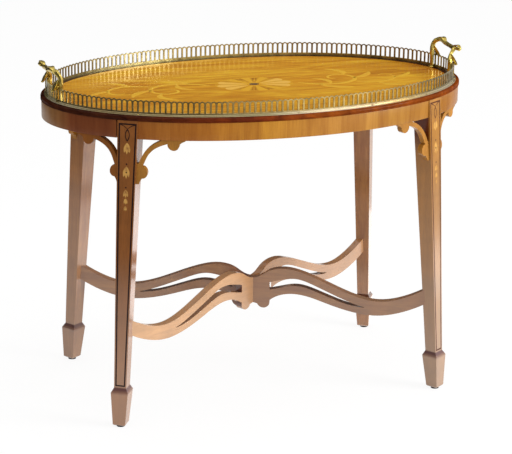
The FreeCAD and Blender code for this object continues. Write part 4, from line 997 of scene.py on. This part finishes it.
class StandOperator(bpy.types.Operator):
    """Legs with their inlay, arch brackets, crossed stretchers and glides."""

    bl_idname = "tea_table.stand"
    bl_label = "Stand"

    UPRIGHT = (0, math.pi / 2, 0)
    # Depths behind a leg's face, and drops below the apron, between which the painted shadow behind a bracket
    # sets in.
    SHADOW_DEPTHS = (1.5 * MM, 4.5 * MM)
    SHADOW_DROPS = (75 * MM, 35 * MM)
    # Drops of the dots below the apron's top, their rise, and the rings and sides of their domes.
    DOT_DROPS = (81 * MM, 96.6 * MM, 125 * MM)
    DOT_RISE, DOT_RINGS, DOT_SIDES = 0.12 * MM, 7, 14
    # Shares of a bracket's reach at which its lobe starts and over which it is drawn in, and how far it is.
    LOBE_START, LOBE_RUN, LOBE_DRAWN = 0.55, 0.1, 1 / 7
    # The bracket's points that lie nearer than this to the leg or the apron stay where they are.
    SEATED = 0.2 * MM
    # A slot's slope at its blunt end, how far its edges lie from its middle at most, and the flare's power.
    SLOT_SLOPE, SLOT_HALF, FLARE_POWER = 0.25, 15 * MM, 1.5
    # A slot's middle line past its blunt end: distances from the board's middle and heights, in millimetres.
    SLOT_LINE = ((59.9, 197.2), (88.9, 202.3), (127.0, 193.1), (181.4, 171.8), (229.0, 160.2))
    # How far the long sides of a slot are marked for painted shade, beside its blunt ends.
    SIDE_MARK = 0.4
    # A slot's end looks along the board by more than one share, and an edge across it by less than the other.
    END_FACING, EDGE_FACING = 0.8, 0.5
    # Painted light and shade of the stretchers along the table, from its left end to its right, with a
    # painted shadow near their crossing.
    PALE_PAINTED_SHADE = ((0.4, WHITE), (0.55, (0.72, 0.64, 0.54)))
    DULL_PAINTED_SHADE = ((0.43, WHITE), (0.465, (0.66, 0.55, 0.55)), (0.492, (0.4, 0.3, 0.38)), (0.497, WHITE))

    def execute(self, context):
        sizes, tones = context.scene.tea_table_sizes, context.scene.tea_table_finish
        self.legs(tones)
        line = self.inlay(tones)
        dress(plain_metal("glide_metal", tones.glide, 0.45), *("glide_" + corner for corner in CORNERS))
        dress(own_shade("dowel_beech", tones.beech, coat=0.0), "bracket_dowels")
        looks = {"turn": self.UPRIGHT, "coat": 0.15, "specular": 0.12}
        arch = own_shade("bracket_satinwood", tones.satinwood_gold, **looks)
        # Painted shade: the front left end bracket, which faces away from the key lamp, gets a darker copy of
        # the bracket's timber.
        shaded = own_shade("bracket_deep_satinwood", tones.satinwood_shaded, **looks)
        for corner in CORNERS:
            piece("dots_" + corner, self.dots(corner, sizes.dot), line, "stand", sharp=60.0)
            for way in ("long", "end"):
                node = "bracket_%s_%s" % (corner, way)
                wood = shaded if node == "bracket_front_left_end" else arch
                eased(node, self.sprung(corner, spots_of(node), sizes), wood, sizes.arris)
        self.stretchers(sizes, tones)
        return {"FINISHED"}

    def legs(self, tones):
        """Each leg in a tone of its own: partly the timber's own tone and partly painted light and shade,
        with painted shade on the front left leg, which faces away from the key lamp.
        """
        looks = {"turn": self.UPRIGHT, "ankle_band": tones.ankle_band}
        # Partly painted shade: the front left leg faces away from the key lamp.
        deep = own_shade("leg_deep_satinwood", tones.satinwood_shaded, specular=0.15,
                         faded=tones.satinwood_faded, fade=(0.34, 0.41), **looks)
        gold = own_shade("leg_golden_satinwood", tones.satinwood_gold, specular=0.2,
                         faded=tones.satinwood_floor_greyed, fade=(0.52, 0.6),
                         shelter=self.shelter("front_right", tones.sheltered), **looks)
        dull = timber("leg_satinwood", tones.satinwood, tones.satinwood_dark, faded=tones.satinwood_floor_greyed,
                      fade=(0.42, 0.32), **looks)
        brown = timber("leg_brown_satinwood", tones.satinwood, tones.satinwood_dark, specular=0.2, **looks)
        for corner, wood in zip(CORNERS, (deep, gold, dull, brown)):
            dress(wood, "leg_" + corner)

    def shelter(self, corner, shade):
        """The painted shadow behind a leg's brackets: deep behind the leg's inlaid face and close under the
        apron."""
        spots = spots_of("stringing_" + corner)
        out = self.face_ways(spots)[1]
        face = (spots @ out).max()
        depths = [face - depth for depth in self.SHADOW_DEPTHS]
        return out, depths, [APRON[0].z - drop for drop in self.SHADOW_DROPS], shade

    def face_ways(self, spots):
        """The directions down a leg's inlaid face and out of it, from the points of its inlay."""
        middle = spots.mean(0)
        axes = main_axes(spots - middle)
        outward = axes[2] @ (middle * (1, 1, 0))
        return -axes[0] * np.sign(axes[0][2]), axes[2] * np.sign(outward)

    def inlay(self, tones):
        """Husks and dark stringing, which is bleached on the front right leg. Gives back the dark
        timber."""
        looks = {"turn": self.UPRIGHT, "coat": 0.2, "specular": 0.1}
        line = own_shade("stringing_wood", tones.line, dark=0.6, **looks)
        bleached = own_shade("stringing_faded_wood", tones.line_faded, **looks)
        husk = husk_inlay("husk_boxwood", tones.husk, tones.boxwood_burnt)
        for corner in CORNERS:
            dress(bleached if corner == "front_right" else line, "stringing_" + corner)
            dress(husk, "bellflowers_" + corner)
        return line

    def stretchers(self, sizes, tones):
        """Two crossed boards with their grain along them, one paler, partly as painted light, with painted
        light and shade along the table and painted shade marked on the faces inside their slots."""
        pale, dull = "stretcher_front_left_to_back_right", "stretcher_back_left_to_front_right"
        # Partly painted light: the paler board faces the key lamp.
        pale_wood = own_shade(pale + "_satinwood", tones.satinwood_pale, turn=(0, 0, -self.lean(pale)),
                              faded=tones.satinwood_faded, sawn=tones.sawn, aged=self.PALE_PAINTED_SHADE)
        dull_wood = timber(dull + "_satinwood", tones.satinwood, tones.satinwood_dark,
                           turn=(0, 0, self.lean(dull)), faded=tones.satinwood_floor_greyed, sawn=tones.sawn,
                           aged=self.DULL_PAINTED_SHADE)
        for node, wood in ((pale, pale_wood), (dull, dull_wood)):
            board = eased(node, self.opened(spots_of(node), sizes), wood, sizes.arris)
            self.mark_slot_shade(board.data, sizes)

    def lean(self, node):
        """A stretcher's turn away from the table's length, from its box."""
        low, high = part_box(node)
        return math.atan2(high.y - low.y, high.x - low.x)

    def sprung(self, corner, spots, sizes):
        """A bracket's points with its arch sprung rounder. In the bracket's plane, along the apron and
        down the leg, a point's distance from the arch's centre grows by the bulge times the fifth power of
        the sine of twice its turn, a little more inside than outside, and the lobe on the leg is drawn in
        by a seventh."""
        leg = spots_of("leg_" + corner)
        top, toe = (leg[choice].mean(0) for choice in (leg[:, 2] > APRON[1].z - MM, leg[:, 2] < FOOT_TOP))
        fall = (toe - top) / (top[2] - toe[2])
        down = spots[:, 2].max() - spots[:, 2]
        upper = spots[down < self.SEATED / 2]
        way = main_axes((upper - upper.mean(0))[:, :2])[0]
        way = np.append(way * np.sign(way @ (upper.mean(0) - top)[:2]), 0)
        reach = sizes.bracket_reach
        along = spots @ way - (fall @ way) * down - (upper @ way).max() + reach
        turn = np.arctan2(reach - down, reach - along)
        radius = np.hypot(reach - along, reach - down)
        inside = np.clip(1 - (radius - sizes.bracket_inner) / sizes.bracket_strip, 0, 1)
        grown = (sizes.bracket_bulge + sizes.bracket_slim * inside) * np.maximum(np.sin(2 * turn), 0) ** 5
        grown = np.where((along > self.SEATED) & (down > self.SEATED), grown, 0)
        lobe = np.clip((down / reach - self.LOBE_START) / self.LOBE_RUN, 0, 1) * self.LOBE_DRAWN
        shift = -np.cos(turn) * grown - lobe * np.maximum(along, 0)
        return spots + shift[:, None] * way - (np.sin(turn) * grown)[:, None] * fall

    def opened(self, spots, sizes):
        """A stretcher's points with the blunt ends of its slots opened out: each edge of a slot moves off
        by the flare times the power 1.5 of the share of the run that is left to the end."""
        way = main_axes(spots[:, :2])[0]
        along = np.abs(spots[:, :2] @ way) - sizes.slot_end
        off = spots[:, 2] - sizes.slot_middle - self.SLOT_SLOPE * along
        near = (np.abs(off) < self.SLOT_HALF) & (along > -MM)
        left = np.clip(1 - along / sizes.slot_run, 0, 1) ** self.FLARE_POWER
        flare = np.where(near, np.sign(off) * left, 0) * sizes.slot_flare
        return spots + flare[:, None] * (0, 0, 1)

    def mark_slot_shade(self, mesh, sizes):
        """Marks the faces inside a stretcher's slots for painted shade: edge faces that look towards the
        slot's middle line, and its blunt ends."""
        normal, centre = np.empty((2, len(mesh.polygons), 3), np.float32)
        mesh.polygons.foreach_get("normal", normal.ravel())
        mesh.polygons.foreach_get("center", centre.ravel())
        way = main_axes(centre[:, :2])[0]
        along = np.abs(centre[:, :2] @ way)
        end = sizes.slot_end
        run, height = np.concatenate(([(end, sizes.slot_middle)], np.array(self.SLOT_LINE) * MM)).T
        inward = normal[:, 2] * (centre[:, 2] - np.interp(along, run, height)) < 0
        sides = inward & (along > end) & (along < run[-1])
        ends = (np.abs(normal[:, :2] @ way) > self.END_FACING) & (np.abs(along - end) < MM)
        edge = np.abs(normal[:, :2] @ (-way[1], way[0])) < self.EDGE_FACING
        marks = edge * np.maximum(ends, self.SIDE_MARK * sides)
        mesh.attributes.new("sawn", "FLOAT", "FACE").data.foreach_set("value", marks.astype(np.float32))

    def dots(self, corner, radius):
        """Low domes on the leg's inlaid face, in line with its husks: rings of a flattened half ball and
        its back."""
        spots = spots_of("bellflowers_" + corner)
        middle = spots.mean(0)
        down, out = self.face_ways(spots)
        side = np.cross(down, out)
        across = (spots - middle) @ side
        middle += out * ((spots - middle) @ out).max() + side * (across.max() + across.min()) / 2
        tilt = np.linspace(0, math.pi, self.DOT_RINGS)[:, None, None]
        turn = np.linspace(0, 2 * math.pi, self.DOT_SIDES, endpoint=False)[None, :, None]
        ring = np.sin(tilt) * (np.cos(turn) * side + np.sin(turn) * down)
        dome = radius * ring + self.DOT_RISE * np.cos(tilt) * out
        faces = grid_faces(self.DOT_RINGS, self.DOT_SIDES, close_columns=True)
        level = spots.mean(0)[2]
        steps = [(APRON[1].z - drop - level) / down[2] for drop in self.DOT_DROPS]
        return [((middle + down * step + dome).reshape(-1, 3), faces) for step in steps]


class StageOperator(bpy.types.Operator):
    """Pale floor, soft studio light and the camera."""

    bl_idname = "tea_table.stage"
    bl_label = "Stage"

    # Each lamp's name, width and place, and the height of the point that they are turned to.
    LAMPS = (("key", 1.6, (3.1, -2.2, 1.5)), ("fill", 1.8, (-1.6, -2.6, 1.6)), ("top", 2.0, (0.2, 0.0, 3.2)))
    LAMP_AIM = 0.45
    # Each dark screen's name, the two ends of its foot and its height, and how far it stands over the floor.
    FLAGS = (("front", (-1.6, -0.6), (-0.2, -1.75), 1.6), ("left", (-1.6, -0.6), (-1.6, 1.6), 1.6),
             ("right", (1.5, -1.4), (1.5, 0.4), 0.4), ("back", (-2.4, 2.8), (3.6, 2.8), 3.2))
    FLAG_FOOT = 0.02
    # The pale card's corners on the floor, and its height over it.
    CARD = ((0, 0.05), (0.35, -0.1), (1, 0), (1, -0.5), (1.45, -0.5), (1.45, 0.3), (0.9, 0.85), (0.4, 0.75))
    CARD_HEIGHT = 0.004
    # Half the floor's length, the width of the camera's sensor in millimetres, and how far the camera sees.
    FLOOR_REACH = 9.0
    SENSOR = 36.0
    VIEW_END = 50.0

    def execute(self, context):
        scene, stage = context.scene, context.scene.tea_table_stage
        self.floor(stage)
        self.sky(scene, stage)
        for name, width, place in self.LAMPS:
            self.lamp(name, getattr(stage, name), width, place)
        for name, start, end, height in self.FLAGS:
            low, high = ([(*spot, level) for spot in (start, end)] for level in (self.FLAG_FOOT, height))
            self.screen("screen_" + name, low + high[::-1], stage.flag)
        self.screen("screen_card", [(x, y, self.CARD_HEIGHT) for x, y in self.CARD], stage.card)
        self.camera(scene, stage)
        scene.view_settings.view_transform = "Standard"
        return {"FINISHED"}

    def sheet(self, name, corners, **shader):
        """A flat sheet that is no part of the table, and its finish."""
        mesh = bpy.data.meshes.new(name)
        mesh.from_pydata(corners, [], [tuple(range(len(corners)))])
        sheet = bpy.data.objects.new(name, mesh)
        bpy.context.scene.collection.objects.link(sheet)
        finish = Finish(name, **shader)
        mesh.materials.append(finish.material)
        return sheet, finish

    def floor(self, stage):
        """A flat sheet, white to the camera where it is lit and a little darker in the table's shadow."""
        far = self.FLOOR_REACH
        corners = [(-far, -far, 0), (far, -far, 0), (far, far, 0), (-far, far, 0)]
        finish = self.sheet("studio_floor", corners, Base_Color=(*stage.floor, 1), Roughness=0.9,
                            Specular_IOR_Level=0.0)[1]
        glow = finish.add("ShaderNodeEmission", Color=(*WHITE, 1), Strength=stage.floor_glow)
        dim = finish.add("ShaderNodeBsdfDiffuse", Color=(*toned(WHITE, 1 - stage.floor_glow), 1))
        both = finish.join("ShaderNodeAddShader", {}, glow.outputs[0], dim.outputs[0])
        finish.surface(finish.join("ShaderNodeMixShader", {}, finish.seen(), finish.shader.outputs[0], both))

    def screen(self, name, corners, shine):
        """A flat screen of one even brightness that shows in reflections only, as a studio's dark flags
        and pale cards do."""
        sheet, finish = self.sheet(name, corners)
        sheet.visible_camera = sheet.visible_diffuse = sheet.visible_shadow = False
        finish.surface(finish.add("ShaderNodeEmission", Color=(*WHITE, 1), Strength=shine).outputs[0])

    def sky(self, scene, stage):
        """White to the camera and in reflections, and an even grey as light."""
        scene.world = bpy.data.worlds.new("studio_sky")
        scene.world.use_nodes = True
        sky = Network(scene.world.node_tree)
        level = sky.between(sky.seen(), 0.0, 1.0, stage.sky, 1.0)
        sky.set(sky.nodes["Background"], {"Color": (*WHITE, 1), "Strength": level})

    def lamp(self, name, watts, width, place):
        """A square soft lamp turned to the table's middle."""
        light = bpy.data.lights.new(name, "AREA")
        light.energy = watts
        light.size = width
        lamp = bpy.data.objects.new(name, light)
        bpy.context.scene.collection.objects.link(lamp)
        lamp.location = place
        lamp.rotation_mode = "QUATERNION"
        lamp.rotation_quaternion = (Vector((0, 0, self.LAMP_AIM)) - Vector(place)).to_track_quat("-Z", "Y")

    def camera(self, scene, stage):
        """A camera that looks back along the line given by its azimuth and elevation, leaning by its
        roll."""
        a, e = stage.azimuth, stage.elevation
        back = Vector((math.sin(a) * math.cos(e), -math.cos(a) * math.cos(e), math.sin(e)))
        level = Vector((math.cos(a), math.sin(a), 0))
        rise = back.cross(level)
        right = level * math.cos(stage.roll) + rise * math.sin(stage.roll)
        up = rise * math.cos(stage.roll) - level * math.sin(stage.roll)
        lens = bpy.data.cameras.new("camera")
        lens.lens = stage.lens
        lens.sensor_width = self.SENSOR
        lens.shift_x, lens.shift_y = stage.shift
        lens.clip_end = self.VIEW_END
        camera = bpy.data.objects.new("camera", lens)
        scene.collection.objects.link(camera)
        turn = Matrix((right, up, back)).transposed().to_4x4()
        camera.matrix_world = Matrix.Translation(Vector((0, 0, stage.aim)) + back * stage.distance) @ turn
        scene.camera = camera


OPERATORS = (StageOperator, StandOperator, ApronOperator, TrayOperator, GalleryOperator, HandlesOperator)
GROUPS = {"tea_table_sizes": TeaTableSizes, "tea_table_finish": TeaTableFinish,
          "tea_table_stage": TeaTableStage}


class TeaTablePanel(bpy.types.Panel):
    """Lists the table's pieces with their sizes and colours."""

    bl_idname = "VIEW3D_PT_tea_table"
    bl_label = "Tea table"
    bl_space_type = "VIEW_3D"
    bl_region_type = "UI"
    bl_category = "Tea table"

    def draw(self, context):
        for operator in OPERATORS:
            self.layout.operator(operator.bl_idname)
        for name in GROUPS:
            group = getattr(context.scene, name)
            column = self.layout.column()
            for key in group.bl_rna.properties.keys():
                if key not in ("rna_type", "name"):
                    column.prop(group, key)


CLASSES = (*GROUPS.values(), *OPERATORS, TeaTablePanel)


def register():
    for kind in CLASSES:
        bpy.utils.register_class(kind)
    for name, kind in GROUPS.items():
        setattr(bpy.types.Scene, name, bpy.props.PointerProperty(type=kind))


def unregister():
    for name in GROUPS:
        delattr(bpy.types.Scene, name)
    for kind in reversed(CLASSES):
        bpy.utils.unregister_class(kind)


def main():
    register()
    for operator in OPERATORS:
        group, name = operator.bl_idname.split(".")
        getattr(getattr(bpy.ops, group), name)()


if __name__ == "__main__":
    main()
